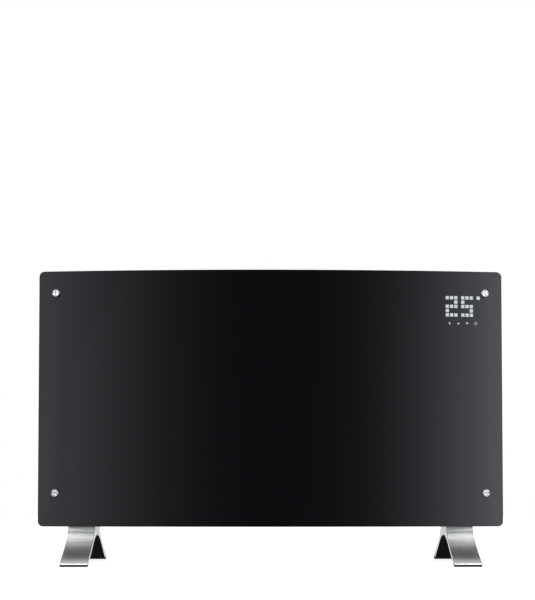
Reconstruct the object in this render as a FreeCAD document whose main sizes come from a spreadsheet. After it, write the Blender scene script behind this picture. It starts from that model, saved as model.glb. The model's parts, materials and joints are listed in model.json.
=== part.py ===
# Glass convector heater: a curved glass front held by four corner caps on a steel casing,
# two bent aluminium feet, and the heating and control pieces inside.
# X runs to the right as seen from the front, the glass faces -Y and Z is up. The origin is on
# the floor, midway between the two feet and midway between their toes. Sizes are in millimetres.

import FreeCAD
import Part
import Sketcher
import math
import os
import re

driving_sizes = [
    # glass panel
    ("glass_width", 800, "straight width of the bowed glass"),
    ("glass_height", 440, "height of the glass"),
    ("glass_thick", 5, "thickness of the glass"),
    ("glass_bow", 4010, "radius of the front face of the glass"),
    ("glass_corner", 9, "radius of the corners of the glass"),
    ("glass_edge", 0.7, "width of the ground edge of the glass"),
    ("glass_bottom", 64, "height of the bottom edge above the floor"),
    ("glass_front", 50, "middle of the front face ahead of the middle of the feet"),
    ("glass_hole", 4.6, "radius of the corner holes in the glass"),
    # corner fixings
    ("cap_side", 30.6, "corner fixings in from the side edge of the glass"),
    ("cap_low", 57.6, "lower fixings above the bottom edge of the glass"),
    ("cap_drop", 38.2, "upper fixings below the top edge of the glass"),
    ("cap_radius", 6.2, "radius of a cap"),
    ("cap_height", 4.5, "height of a cap"),
    ("cap_round", 0.8, "chamfer round the face of a cap"),
    ("cap_dish", 0.4, "depth of the dished face of a cap"),
    ("stud_radius", 3, "radius of the threaded studs of caps and posts"),
    ("stud_grip", 5, "length of a cap's stud inside its post"),
    ("flange_radius", 5.7, "radius of the flange of a glass bush"),
    ("flange_thick", 0.8, "thickness of that flange"),
    ("sleeve_radius", 4.4, "radius of the sleeve of a glass bush"),
    ("washer_radius", 6.5, "radius of the washers behind the glass"),
    ("washer_thick", 1, "thickness of those washers"),
    ("post_radius", 6.5, "radius of the standoff posts"),
    ("post_stud", 9, "length of a post's stud behind the casing front"),
    ("nut_across", 10, "width across the flats of a post nut"),
    ("nut_thick", 5, "thickness of a post nut"),
    ("glass_gap", 10, "air gap between the glass and the casing"),
    # clearances
    ("seat_gap", 0.05, "gap between a flat piece and a bowed face"),
    ("bore_gap", 0.1, "radial gap of a screw or stud in its hole"),
    ("lap_gap", 0.2, "gap between sheets or mouldings that overlap"),
    ("run_gap", 0.05, "radial gap of a pivot in its bore"),
    ("press_gap", 0.01, "radial gap of a pin that is held fast"),
    ("swing_gap", 0.3, "gap at the sides of a moving piece"),
    # casing
    ("casing_side", 16, "casing in from the side edges of the glass"),
    ("casing_rise", 6, "casing above the bottom edge of the glass"),
    ("casing_drop", 18, "casing below the top edge of the glass"),
    ("casing_back", 38, "back of the casing behind the middle of the feet"),
    ("casing_sheet", 1.2, "thickness of the steel sheet"),
    ("casing_bend", 8, "outer radius of the bends of the rear cover"),
    ("housing_round", 1.6, "outer radius of the front edges of the housing"),
    ("housing_depth", 8.5, "depth of the housing at its ends"),
    ("lap_length", 8, "length of the cover's tongue inside the housing"),
    ("lap_root", 4, "overlap of that tongue and the cover"),
    ("tongue_clear", 4, "tongue clear of the nut plates of the feet"),
    ("key_spacing", 400, "distance between the two wall keyholes"),
    ("key_drop", 56, "keyholes below the top of the casing"),
    ("key_head", 5, "radius of the round end of a keyhole"),
    ("key_slot", 2.6, "half width of the slot of a keyhole"),
    ("key_rise", 12, "length of the slot of a keyhole"),
    ("key_flat", 0.1, "radius of a slot's round end beyond its half width"),
    ("panel_side", 96, "raised back panel in from the ends of the casing"),
    ("panel_rise", 92, "raised back panel above and below the casing's edges"),
    ("panel_raise", 1.6, "height of the raised back panel"),
    ("panel_step", 0.2, "straight edge under the slope round that panel"),
    ("back_slot_width", 4, "width of a slot in the raised back panel"),
    ("back_slot_height", 26, "length of the straight sides of those slots"),
    ("back_slot_pitch", 12, "distance between those slots"),
    ("back_slot_rows", 38, "distance between the two rows of slots"),
    ("back_slot_side", 48, "slots in from the ends of the raised panel"),
    ("back_slot_rise", 18, "slots above the lower edge of the raised panel"),
    # end caps
    ("end_width", 12, "width of an end cap"),
    ("end_wall", 2.5, "wall of an end cap"),
    ("end_round", 4, "rounding of the outer edge of an end cap"),
    ("spigot_length", 9, "length of an end cap's spigot inside the cover"),
    ("spigot_wall", 2, "wall of that spigot"),
    ("boss_size", 9, "width of a screw boss in a spigot"),
    ("end_screw_inset", 60, "end cap screws from the top and bottom of the casing"),
    # grilles
    ("vent_front", 3, "front edge of the vents behind the middle of the feet"),
    ("vent_width", 25, "width of the vents"),
    ("outlet_inset", 64, "top vent in from the ends of the casing"),
    ("inlet_inset", 2, "bottom vent in from the partition"),
    ("grille_rim", 2, "rim of a grille beyond its vent"),
    ("grille_thick", 1.8, "thickness of that rim"),
    ("grille_depth", 12, "depth of a grille inside its vent"),
    ("grille_wall", 2.2, "wall of a grille"),
    ("blade_thick", 1.6, "thickness of a grille blade"),
    ("blade_lean", 5, "how far a blade leans from its foot to its head"),
    ("blade_pitch", 4.9, "distance between blades"),
    ("blade_curve", 16, "radius of the curve of a blade"),
    ("rib_thick", 2, "thickness of a grille rib"),
    ("rib_pitch", 80, "distance between ribs"),
    # feet
    ("foot_side", 75, "middle of a foot in from the side edge of the glass"),
    ("foot_width", 46, "width of a foot"),
    ("foot_reach", 105, "reach of a toe from the middle of the foot"),
    ("toe_height", 3, "height of the end face of a toe"),
    ("toe_round", 0.9, "rounding of the upper edge of a toe"),
    ("flare_radius", 340, "radius of the flared upper face of a leg"),
    ("neck_half", 38, "half depth of a foot at its neck"),
    ("neck_height", 46, "height of the neck above the floor"),
    ("neck_round", 60, "rounding at the neck"),
    ("crown_half", 22, "half depth of a foot under the casing"),
    ("sole_length", 13, "length of the flat sole of a toe"),
    ("arch_half", 38.5, "half depth of the arch where its curve starts"),
    ("arch_height", 37, "height above the floor where that curve starts"),
    ("foot_edge", 0.5, "chamfer of the side edges of a foot"),
    ("pad_thick", 2.5, "thickness of a rubber pad"),
    ("pad_inset", 0.6, "pad in from the edges of the sole"),
    ("foot_screw_y", 8, "foot screws behind the middle of the feet"),
    ("foot_screw_pitch", 26, "distance between the two screws of a foot"),
    ("foot_screw", 2.5, "radius of a foot screw"),
    ("foot_head", 4.3, "radius of the head of a foot screw"),
    ("foot_head_height", 5, "height of that head"),
    ("foot_seat", 58, "height of the head's seat above the floor"),
    ("foot_plate_thick", 4, "thickness of the nut plates of the feet"),
    ("foot_plate_depth", 20, "depth of those nut plates"),
    # small screws
    ("screw_radius", 2, "radius of the casing screws"),
    ("screw_head", 3.6, "radius of the heads of the casing screws"),
    ("screw_head_height", 2.2, "height of those heads"),
    ("screw_crown", 2.2, "radius of the flat top of those heads"),
    ("screw_length", 7, "length of the casing screws under the head"),
    ("cover_screw_pitch", 240, "distance between the casing screws of the housing"),
    ("board_screw", 1.25, "radius of the board screws"),
    ("board_head", 2.6, "radius of the heads of the board screws"),
    ("board_head_height", 1.8, "height of those heads"),
    ("board_crown", 1.8, "radius of the flat top of those heads"),
    ("board_screw_length", 7, "length of the board screws under the head"),
    # heating elements
    ("control_width", 122, "partition in from the right end of the casing"),
    ("bracket_side", 84, "left bracket in from the left end of the casing"),
    ("bracket_sheet", 1.2, "sheet of the partition and the left bracket"),
    ("bracket_flange", 14, "flange of the partition and the left bracket"),
    ("bracket_margin", 40, "left bracket beyond the axes of the elements"),
    ("partition_rise", 15, "partition clear of the casing's top and bottom"),
    ("partition_front", 1.5, "partition clear of the casing front"),
    ("element_low", 86, "axis of the lower element above the casing's bottom"),
    ("element_pitch", 62, "distance between the two elements"),
    ("element_y", 6, "axes of the elements behind the middle of the feet"),
    ("core_radius", 4, "radius of an element's sheathed core"),
    ("core_out", 12, "core beyond the brackets"),
    ("pin_radius", 1.6, "radius of a core's terminal pin"),
    ("pin_out", 9, "length of a core's terminal pin"),
    ("hub_radius", 8, "radius of the hub of an element"),
    ("wing_reach", 26, "reach of an element's wings from its axis"),
    ("wing_thick", 2.4, "thickness of a wing"),
    ("fin_pitch", 12, "distance between the slits of the wings"),
    ("fin_slit", 2, "width of a slit"),
    ("fin_root", 12, "distance of the slits from the axis"),
    ("element_clear", 9, "wings clear of the bracket and the partition"),
    ("ceramic_radius", 7, "radius of a ceramic bush"),
    ("ceramic_flange", 10, "radius of the flange of a ceramic bush"),
    ("ceramic_thick", 3, "thickness of that flange"),
    ("ceramic_length", 6, "length of a ceramic bush past its flange"),
    # thermal cut-out
    ("cutout_rise", 230, "cut-out above the casing's bottom"),
    ("cutout_radius", 8, "radius of the cut-out"),
    ("cutout_step", 1, "sensing face in from that radius"),
    ("cutout_flange", 12, "radius of its flange"),
    ("cutout_flange_thick", 1.5, "thickness of its flange"),
    ("cutout_face", 4, "height of its sensing face"),
    ("cutout_body", 9, "depth of its body behind the flange"),
    ("blade_width", 6.3, "width of a push-on terminal"),
    ("blade_length", 8, "length of a push-on terminal"),
    ("blade_sheet", 0.8, "thickness of a push-on terminal"),
    # power board
    ("board_left", 14, "power board to the right of the partition"),
    ("board_width", 76, "width of the power board"),
    ("board_height", 140, "height of the power board"),
    ("board_rise", 140, "power board above the casing's bottom"),
    ("board_thick", 1.6, "thickness of the boards"),
    ("board_inset", 5, "board screws in from the edges of the board"),
    ("spacer_radius", 3.5, "radius of a board spacer"),
    ("spacer_height", 8, "height of a board spacer"),
    ("relay_width", 15.5, "width of a relay"),
    ("relay_length", 19, "length of a relay"),
    ("relay_height", 15.5, "height of a relay above the board"),
    ("relay_pitch", 26, "distance between the relays"),
    ("relay_inset", 26, "relays in from the lower left corner of the board"),
    ("coil_width", 32, "width of the transformer"),
    ("coil_length", 28, "length of the transformer"),
    ("coil_height", 22, "height of the transformer"),
    ("coil_left", 8, "transformer in from the left edge of the board"),
    ("coil_rise", 90, "transformer above the bottom edge of the board"),
    ("coil_core", 4, "core plates beyond the winding of the transformer"),
    ("can_radius", 6.3, "radius of the capacitor"),
    ("can_height", 20, "height of the capacitor"),
    ("can_round", 0.8, "chamfer round the top of the capacitor"),
    ("can_left", 56, "capacitor in from the left edge of the board"),
    ("can_rise", 104, "capacitor above the bottom edge of the board"),
    # terminal block
    ("block_left", 22, "terminal block to the right of the partition"),
    ("block_width", 44, "width of the terminal block"),
    ("block_height", 18, "height of the terminal block"),
    ("block_depth", 16, "depth of the terminal block"),
    ("block_rise", 108, "terminal block above the casing's bottom"),
    ("block_pitch", 13, "distance between its ways"),
    ("block_hole", 2.4, "radius of its wire holes"),
    # display
    ("display_side", 69, "middle of the display in from the side edge of the glass"),
    ("display_drop", 69, "middle of the display below the top edge of the glass"),
    ("mask_half", 31.8, "half width of the display mask"),
    ("mask_up", 28, "display mask above its middle"),
    ("mask_down", 31, "display mask below its middle"),
    ("mask_gap", 0.3, "gap between the mask and the glass"),
    ("mask_past", 3, "mask behind the casing front"),
    ("window_gap", 0.8, "gap round the mask in the casing front"),
    ("ear_width", 9, "screw ears of the mask"),
    ("ear_half", 9, "half height of those ears"),
    ("ear_thick", 2, "thickness of those ears"),
    ("dot_size", 6.2, "width of a light tile"),
    ("dot_pitch", 7.45, "distance between light tiles"),
    ("dot_gap", 0.2, "gap round a light tile"),
    ("digit_pitch", 27.1, "distance between the two digits"),
    ("digits_left", 5.7, "middle of the digits left of the middle of the display"),
    ("dots_rise", 8, "middle row of the digits above the middle of the display"),
    ("degree_right", 27.6, "degree tile right of the middle of the display"),
    ("tile_thick", 2, "thickness of the light tiles"),
    ("keys_drop", 21.3, "touch keys below the middle of the display"),
    ("touch_pitch", 15.3, "distance between the touch keys"),
    ("touch_radius", 4.5, "radius of a touch pad"),
    # air sensor
    ("sensor_rise", 30, "sensor clip above the casing's bottom"),
    ("sensor_out", 7, "sensor axis out from the partition"),
    ("sensor_in", 8, "sensor axis behind the front edge of the partition"),
    ("sensor_radius", 2.2, "radius of the air sensor"),
    ("sensor_length", 14, "length of the air sensor"),
    ("clip_half", 5, "half width of the sensor clip"),
    ("clip_height", 6, "height of the sensor clip"),
    # tip-over switch
    ("tilt_rise", 60, "pivot above the casing's bottom"),
    ("tilt_y", 13, "pivot behind the middle of the feet"),
    ("tilt_pin", 1.5, "radius of the pivot pin"),
    ("tilt_hub", 5, "radius of the pendulum's hub"),
    ("tilt_width", 8, "width of the pendulum"),
    ("tilt_arm", 5, "width of the pendulum's arm"),
    ("tilt_drop", 28, "middle of the weight below the pivot"),
    ("tilt_weight", 9, "radius of the weight"),
    ("vane_drop", 6, "vane below the weight"),
    ("vane_width", 4, "width of the vane"),
    ("vane_thick", 1, "thickness of the vane"),
    ("cheek_thick", 2, "thickness of the bracket's cheeks"),
    ("cheek_half", 11, "half depth of the bracket"),
    ("cheek_top", 10, "bracket above the pivot"),
    ("cheek_low", 8, "outer cheek below the pivot"),
    ("tilt_side", 2, "gap between the pendulum and a cheek"),
    ("gate_gap", 3, "slot of the light gate"),
    ("gate_arm", 2.4, "thickness of the light gate's arms"),
    ("gate_depth", 8, "depth of the light gate"),
    ("gate_reach", 4, "overlap of the vane and the light gate's arms"),
    ("gate_base", 3, "base of the light gate"),
    # main switch
    ("switch_rise", 120, "main switch above the casing's bottom"),
    ("switch_y", 15, "main switch and gland behind the middle of the feet"),
    ("bezel_height", 22, "height of the switch bezel"),
    ("bezel_width", 16, "width of the switch bezel"),
    ("bezel_thick", 2, "thickness of the switch bezel"),
    ("switch_height", 19, "height of the switch body"),
    ("switch_width", 12.8, "width of the switch body"),
    ("switch_depth", 15, "depth of the switch body behind the end cap"),
    ("switch_floor", 4, "floor of the switch body"),
    ("switch_side", 1.1, "side walls of the switch body"),
    ("switch_end", 0.7, "end walls of the switch body"),
    ("rocker_half", 7.6, "half length of the rocker"),
    ("rocker_tip", 4.6, "ends of the rocker out from its pivot"),
    ("rocker_mid", 3, "middle of the rocker out from its pivot"),
    ("rocker_skirt", 1.5, "straight ends of the rocker in from its pivot"),
    ("rocker_foot", 4, "half length of the rocker's inner end"),
    ("rocker_deep", 5, "inner end of the rocker in from its pivot"),
    ("rocker_pivot", 2, "pivot in from the outer face of the end cap"),
    ("rocker_tilt", 8, "tilt of the rocker either side of its middle, in degrees"),
    ("trunnion_radius", 1.2, "radius of the rocker's trunnions"),
    ("trunnion_out", 0.9, "length of a trunnion"),
    # cord gland
    ("gland_rise", 42, "gland above the casing's bottom"),
    ("gland_bore", 4, "radius of the gland's bore"),
    ("gland_radius", 8, "radius of the gland's thread"),
    ("gland_flange", 11, "radius of the gland's flange"),
    ("gland_flange_thick", 4, "thickness of the gland's flange"),
    ("gland_length", 15, "length of the gland inside the end cap"),
    ("gland_nut_across", 21, "width across the flats of the gland nut"),
    ("gland_nut_thick", 5, "thickness of the gland nut"),
]

# How close two places count as the same.
same_place = 0.01

# Places worked out from the driving sizes, as text for expressions.
bow_centre = "(glass_bow - glass_front)"


def bow_y(radius, x):
    return f"({bow_centre} - sqrt(({radius})^2 - ({x})^2))"


glass_back = "(glass_bow - glass_thick)"
plate_front = "(glass_bow - glass_thick - glass_gap)"
plate_back = "(glass_bow - glass_thick - glass_gap - casing_sheet)"
glass_top = "(glass_bottom + glass_height)"
cap_x = "(glass_width / 2 - cap_side)"
casing_half = "(glass_width / 2 - casing_side)"
casing_low = "(glass_bottom + casing_rise)"
casing_high = f"({glass_top} - casing_drop)"
casing_tall = f"({casing_high} - {casing_low})"
back_inside = "(casing_back - casing_sheet)"
cover_half = f"({casing_half} - end_width - lap_gap)"
part_line = f"({bow_y(plate_front, casing_half)} + housing_depth)"
cover_front = f"({part_line} + lap_gap)"
tongue_front = f"({part_line} - lap_length)"
foot_x = "(glass_width / 2 - foot_side)"
tongue_half = f"({foot_x} - foot_width / 2 - tongue_clear)"
vent_middle = "(vent_front + vent_width / 2)"
outlet_half = f"({casing_half} - outlet_inset)"
partition_x = f"({casing_half} - control_width)"
partition_face = f"({partition_x} + bracket_sheet)"
partition_edge = f"({bow_y(plate_back, partition_x)} + partition_front)"
inlet_half = f"({partition_x} - inlet_inset)"
sensor_y = f"({partition_edge} + sensor_in)"
bracket_x = f"(-{casing_half} + bracket_side)"
display_x = "(glass_width / 2 - display_side)"
display_z = f"({glass_top} - display_drop)"
mask_back = "(glass_gap + casing_sheet + mask_past)"
ear_screw_x = "(mask_half + ear_width / 2)"
switch_z = f"({casing_low} + switch_rise)"
gland_z = f"({casing_low} + gland_rise)"
pivot_z = f"({casing_low} + tilt_rise)"
cover_screw_y = f"({part_line} - lap_length / 2)"
cover_screw_xs = ["-cover_screw_pitch", "0", "cover_screw_pitch"]
end_screw_x = f"({cover_half} - spigot_length / 2)"
end_screw_zs = [f"({casing_low} + end_screw_inset)", f"({casing_high} - end_screw_inset)"]
casing_middle = f"({casing_low} + {casing_tall} / 2)"
element_zs = [f"({casing_low} + element_low)", f"({casing_low} + element_low + element_pitch)"]

doc = FreeCAD.newDocument("convector_heater")
sheet = doc.addObject("Spreadsheet::Sheet", "Sizes")
for row, (alias, number, meaning) in enumerate(driving_sizes, start=1):
    sheet.set(f"A{row}", meaning)
    sheet.set(f"B{row}", str(number))
    sheet.setAlias(f"B{row}", alias)
doc.recompute()

alias_words = re.compile(r"\b(" + "|".join(alias for alias, number, meaning in driving_sizes) + r")\b")
sub_parts = []


# Expressions

def cells(text):
    return alias_words.sub(r"Sizes.\1", str(text))


def number_of(text):
    result = sheet.evalExpression(cells(text))
    return float(getattr(result, "Value", result))


def bind(thing, **expressions):
    for name, text in expressions.items():
        thing.setExpression(name, cells(text))


# Sketches

def new_body(name):
    return doc.addObject("PartDesign::Body", name)


def sketch_on(body, name, plane, height="0"):
    sketch = body.newObject("Sketcher::SketchObject", name)
    support = next(face for face in body.Origin.OriginFeatures if face.Role == plane)
    sketch.AttachmentSupport = (support, "")
    sketch.MapMode = "FlatFace"
    sketch.setExpression("AttachmentOffset.Base.z", cells(height))
    return sketch


def set_distance(sketch, constraint, text):
    index = sketch.addConstraint(constraint)
    sketch.setExpression(f"Constraints[{index}]", cells(text))


def fix_point(sketch, geometry, end, x, y):
    for direction, text in (("DistanceX", x), ("DistanceY", y)):
        distance = Sketcher.Constraint(direction, -1, 1, geometry, end, number_of(text))
        set_distance(sketch, distance, text)


def arc_between(start, finish, radius, centre_side):
    chord = finish - start
    reach = math.sqrt(radius ** 2 - (chord.Length / 2) ** 2)
    across = FreeCAD.Vector(-chord.y, chord.x, 0).normalize()
    if centre_side == "right":
        across = -across
    centre = (start + finish) / 2 + across * reach
    angles = [math.atan2(point.y - centre.y, point.x - centre.x) for point in (start, finish)]
    if centre_side == "right":
        angles.reverse()
    return Part.ArcOfCircle(Part.Circle(centre, FreeCAD.Vector(0, 0, 1), radius), *angles)


def outline(sketch, corners, bends=None):
    # A closed outline through corners given as text. bends gives the radius of each side that is
    # an arc, and the side on which its centre lies, going round.
    bends = bends or {}
    points = [FreeCAD.Vector(number_of(x), number_of(y), 0) for x, y in corners]
    sides = []
    for index, start in enumerate(points):
        finish = points[(index + 1) % len(points)]
        first, last = 1, 2
        edge = Part.LineSegment(start, finish) if index not in bends else None
        if index in bends:
            radius, centre_side = bends[index]
            edge = arc_between(start, finish, number_of(radius), centre_side)
            if centre_side == "right":
                first, last = 2, 1
        sides.append((sketch.addGeometry(edge), first, last))
    for index, (geometry, first, last) in enumerate(sides):
        following, following_first, following_last = sides[(index + 1) % len(sides)]
        sketch.addConstraint(Sketcher.Constraint("Coincident", geometry, last, following, following_first))
    for index, (geometry, first, last) in enumerate(sides):
        fix_point(sketch, geometry, first, *corners[index])
        if index in bends:
            radius = bends[index][0]
            set_distance(sketch, Sketcher.Constraint("Radius", geometry, number_of(radius)), radius)


def rectangle(sketch, x0, x1, y0, y1):
    outline(sketch, [(x0, y0), (x1, y0), (x1, y1), (x0, y1)])


def round_backed(sketch, front, back, low, high, radius):
    # A rectangle whose two corners at the back are rounded.
    outline(sketch, [(front, low), (f"{back} - {radius}", low), (back, f"{low} + {radius}"),
                     (back, f"{high} - {radius}"), (f"{back} - {radius}", high), (front, high)],
            {1: (radius, "left"), 3: (radius, "left")})


def circle(sketch, x, y, radius):
    centre = FreeCAD.Vector(number_of(x), number_of(y), 0)
    geometry = sketch.addGeometry(Part.Circle(centre, FreeCAD.Vector(0, 0, 1), number_of(radius)))
    fix_point(sketch, geometry, 3, x, y)
    set_distance(sketch, Sketcher.Constraint("Radius", geometry, number_of(radius)), radius)


def hexagon_corners(across):
    side = f"({across}) / sqrt(3)"
    half = f"({across}) / 2"
    return [(side, "0"), (f"{side} / 2", half), (f"-{side} / 2", half),
            (f"-{side}", "0"), (f"-{side} / 2", f"-{half}"), (f"{side} / 2", f"-{half}")]


# Features

def extrude(body, kind, sketch, length=None, symmetric=False, backwards=False):
    feature = body.newObject(kind, sketch.Name + "_cut" if kind.endswith("Pocket") else sketch.Name + "_pad")
    feature.Profile = sketch
    if length is None:
        feature.Type = "ThroughAll"
    else:
        feature.setExpression("Length", cells(length))
    if symmetric:
        feature.SideType = "Symmetric"
    feature.Reversed = backwards
    body.Tip = feature
    return feature


def pad(body, sketch, length, symmetric=False, backwards=False):
    return extrude(body, "PartDesign::Pad", sketch, length, symmetric, backwards)


def pocket(body, sketch, length=None, symmetric=False, backwards=False):
    # Cuts against the sketch's normal, or along it when backwards, and must take something away.
    doc.recompute()
    before = body.Shape.Volume
    feature = extrude(body, "PartDesign::Pocket", sketch, length, symmetric, backwards)
    doc.recompute()
    if body.Shape.Volume >= before:
        raise RuntimeError(f"{sketch.Name} cuts nothing")
    return feature


def soften(body, kind, size, chosen):
    # A fillet or chamfer on the edges that chosen picks.
    doc.recompute()
    base = body.Tip
    names = [f"Edge{index}" for index, edge in enumerate(base.Shape.Edges, start=1) if chosen(edge)]
    if not names:
        raise RuntimeError(f"no edges to soften on {body.Name}")
    feature = body.newObject(f"PartDesign::{kind}", f"{body.Name}_{kind.lower()}")
    feature.Base = (base, names)
    feature.setExpression("Radius" if kind == "Fillet" else "Size", cells(size))
    body.Tip = feature
    doc.recompute()
    return feature


def along_x_at(y, heights):
    # Picks the long edges along X that lie y behind or ahead of the middle, at the given heights.
    y = abs(number_of(y))
    heights = [number_of(z) for z in heights]

    def chosen(edge):
        middle = edge.CenterOfMass
        off_height = min(abs(middle.z - z) for z in heights)
        along_x = edge.BoundBox.XLength > edge.Length - same_place
        return along_x and abs(abs(middle.y) - y) < same_place and off_height < same_place

    return chosen


def repeat(body, features, steps):
    # Copies features along straight lines: each step is an axis of a sketch, a length and a count.
    pattern = body.newObject("PartDesign::MultiTransform", f"{body.Name}_pattern")
    pattern.Originals = features
    lines = []
    for index, (sketch, axis, length, count) in enumerate(steps, start=1):
        line = body.newObject("PartDesign::LinearPattern", f"{body.Name}_pattern_{index}")
        line.Direction = (sketch, [axis])
        line.setExpression("Length", cells(length))
        line.setExpression("Occurrences", cells(count))
        lines.append(line)
    pattern.Transformations = lines
    body.Tip = pattern
    doc.recompute()
    return pattern


def turned(name, axis, profile):
    # A piece turned about X, Y or Z: the profile holds (distance along the axis, radius) pairs.
    plane = "XZ_Plane" if axis == "Z" else "XY_Plane"
    line = "H_Axis" if axis == "X" else "V_Axis"
    body = new_body(name)
    sketch = sketch_on(body, f"{name}_profile", plane)
    outline(sketch, [(along, radius) if axis == "X" else (radius, along) for along, radius in profile])
    feature = body.newObject("PartDesign::Revolution", f"{name}_turned")
    feature.Profile = sketch
    feature.ReferenceAxis = (sketch, [line])
    body.Tip = feature
    return body


# Blocks, rods and booleans

def put(thing, x="0", y="0", z="0"):
    for axis, text in (("x", x), ("y", y), ("z", z)):
        thing.setExpression(f"Placement.Base.{axis}", cells(text))


def block(name, x0, x1, y0, y1, z0, z1):
    solid = doc.addObject("Part::Box", name)
    bind(solid, Length=f"({x1}) - ({x0})", Width=f"({y1}) - ({y0})", Height=f"({z1}) - ({z0})")
    put(solid, x0, y0, z0)
    return solid


def rod(name, axis, x, y, z, radius, length):
    # A cylinder that starts at (x, y, z) and runs along +X, +Y or +Z.
    turns = {"X": (FreeCAD.Vector(0, 1, 0), 90), "Y": (FreeCAD.Vector(1, 0, 0), -90),
             "Z": (FreeCAD.Vector(0, 0, 1), 0)}
    solid = doc.addObject("Part::Cylinder", name)
    bind(solid, Radius=radius, Height=length)
    solid.Placement = FreeCAD.Placement(FreeCAD.Vector(), FreeCAD.Rotation(*turns[axis]))
    put(solid, x, y, z)
    return solid


def fused(name, solids):
    whole = doc.addObject("Part::MultiFuse", name)
    whole.Shapes = solids
    return whole


def cut_away(name, solid, tools):
    whole = doc.addObject("Part::Cut", name)
    whole.Base = solid
    whole.Tool = tools[0] if len(tools) == 1 else together(f"{name}_tools", tools)
    return whole


def together(name, solids):
    whole = doc.addObject("Part::Compound", name)
    whole.Links = solids
    return whole


def copy_of(master, name, x, y, z, yaw=None, yaw_axis=1):
    # A copy of a piece made about the origin, moved and turned about Z.
    twin = doc.addObject("App::Link", name)
    twin.LinkedObject = master
    twin.LinkTransform = True
    if yaw is not None:
        turn = FreeCAD.Rotation(FreeCAD.Vector(0, 0, yaw_axis), number_of(yaw))
        twin.Placement = FreeCAD.Placement(FreeCAD.Vector(), turn)
        twin.setExpression("Placement.Rotation.Angle", cells(yaw))
    put(twin, x, y, z)
    return twin


def copies(name, master, places):
    twins = [copy_of(master, f"{name}_{index}", *place) for index, place in enumerate(places, start=1)]
    return together(name, twins)


def keep(label, thing):
    thing.Label = label
    sub_parts.append(thing)
    return thing


# Glass panel and its corner fixings

def corner_places():
    # Each corner fixing stands square to the bowed glass, its origin on the front face.
    places = []
    for side, yaw_axis in ((cap_x, 1), (f"-{cap_x}", -1)):
        for z in ("(glass_bottom + cap_low)", f"({glass_top} - cap_drop)"):
            places.append((side, bow_y("glass_bow", cap_x), z, f"asin({cap_x} / glass_bow)", yaw_axis))
    return places


def on_bow(point, radius):
    return abs(math.hypot(point.x, point.y - number_of(bow_centre)) - radius) < same_place


def make_glass():
    body = new_body("glass_blank")
    plan = sketch_on(body, "glass_plan", "XY_Plane", "glass_bottom")
    front_x = "(glass_width / 2)"
    back_x = f"(glass_width / 2 * {glass_back} / glass_bow)"
    front_y = bow_y("glass_bow", front_x)
    back_y = bow_y(glass_back, back_x)
    corners = [(f"-{front_x}", front_y), (front_x, front_y), (back_x, back_y), (f"-{back_x}", back_y)]
    outline(plan, corners, {0: ("glass_bow", "left"), 2: (glass_back, "right")})
    pad(body, plan, "glass_height")
    short = 2 * number_of("glass_thick")
    soften(body, "Fillet", "glass_corner", lambda edge: edge.Length < short)
    faces = (number_of("glass_bow"), number_of(glass_back))

    def on_a_face(edge):
        ends = [vertex.Point for vertex in edge.Vertexes]
        middle = edge.valueAt((edge.FirstParameter + edge.LastParameter) / 2)
        return any(all(on_bow(point, radius) for point in ends + [middle]) for radius in faces)

    soften(body, "Chamfer", "glass_edge", on_a_face)
    hole = rod("glass_hole_tool", "Y", "0", "-glass_thick", "0", "glass_hole", "3 * glass_thick")
    holes = copies("glass_holes", hole, corner_places())
    keep("glass_panel", cut_away("glass", body, [holes]))


def make_corner_fixings():
    under_cap = "(-seat_gap - flange_thick)"
    post_front = "(glass_thick + seat_gap + washer_thick)"
    plate = "(glass_thick + glass_gap)"
    cap_face = f"({under_cap} - cap_height)"
    cap = turned("cap", "Y", [
        (f"{cap_face} + cap_dish", "0"), (cap_face, "cap_radius - 2 * cap_round"),
        (cap_face, "cap_radius - cap_round"), (f"{cap_face} + cap_round", "cap_radius"),
        (under_cap, "cap_radius"), (under_cap, "stud_radius"),
        (f"{post_front} + stud_grip", "stud_radius"), (f"{post_front} + stud_grip", "0")])
    keep("glass_caps", copies("caps", cap, corner_places()))

    bush = turned("glass_bush", "Y", [
        (under_cap, "stud_radius + bore_gap"), (under_cap, "flange_radius"), ("-seat_gap", "flange_radius"),
        ("-seat_gap", "sleeve_radius"), ("glass_thick", "sleeve_radius"),
        ("glass_thick", "stud_radius + bore_gap")])
    keep("glass_bushes", copies("bushes", bush, corner_places()))

    washer = turned("glass_washer", "Y", [
        ("glass_thick + seat_gap", "stud_radius + bore_gap"), ("glass_thick + seat_gap", "washer_radius"),
        (post_front, "washer_radius"), (post_front, "stud_radius + bore_gap")])
    keep("glass_washers", copies("washers", washer, corner_places()))

    bore_end = f"{post_front} + stud_grip + 2 * bore_gap"
    post = turned("post", "Y", [
        (post_front, "stud_radius + bore_gap"), (post_front, "post_radius"),
        (f"{plate} - seat_gap", "post_radius"), (f"{plate} - seat_gap", "stud_radius"),
        (f"{plate} + post_stud", "stud_radius"),
        (f"{plate} + post_stud", "0"), (bore_end, "0"), (bore_end, "stud_radius + bore_gap")])
    keep("standoff_posts", copies("posts", post, corner_places()))

    nut = new_body("post_nut")
    flats = sketch_on(nut, "post_nut_flats", "XZ_Plane", f"-({plate} + casing_sheet + seat_gap)")
    outline(flats, hexagon_corners("nut_across"))
    circle(flats, "0", "0", "stud_radius + bore_gap")
    pad(nut, flats, "nut_thick", backwards=True)
    keep("post_nuts", copies("nuts", nut, corner_places()))


# Casing

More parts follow.
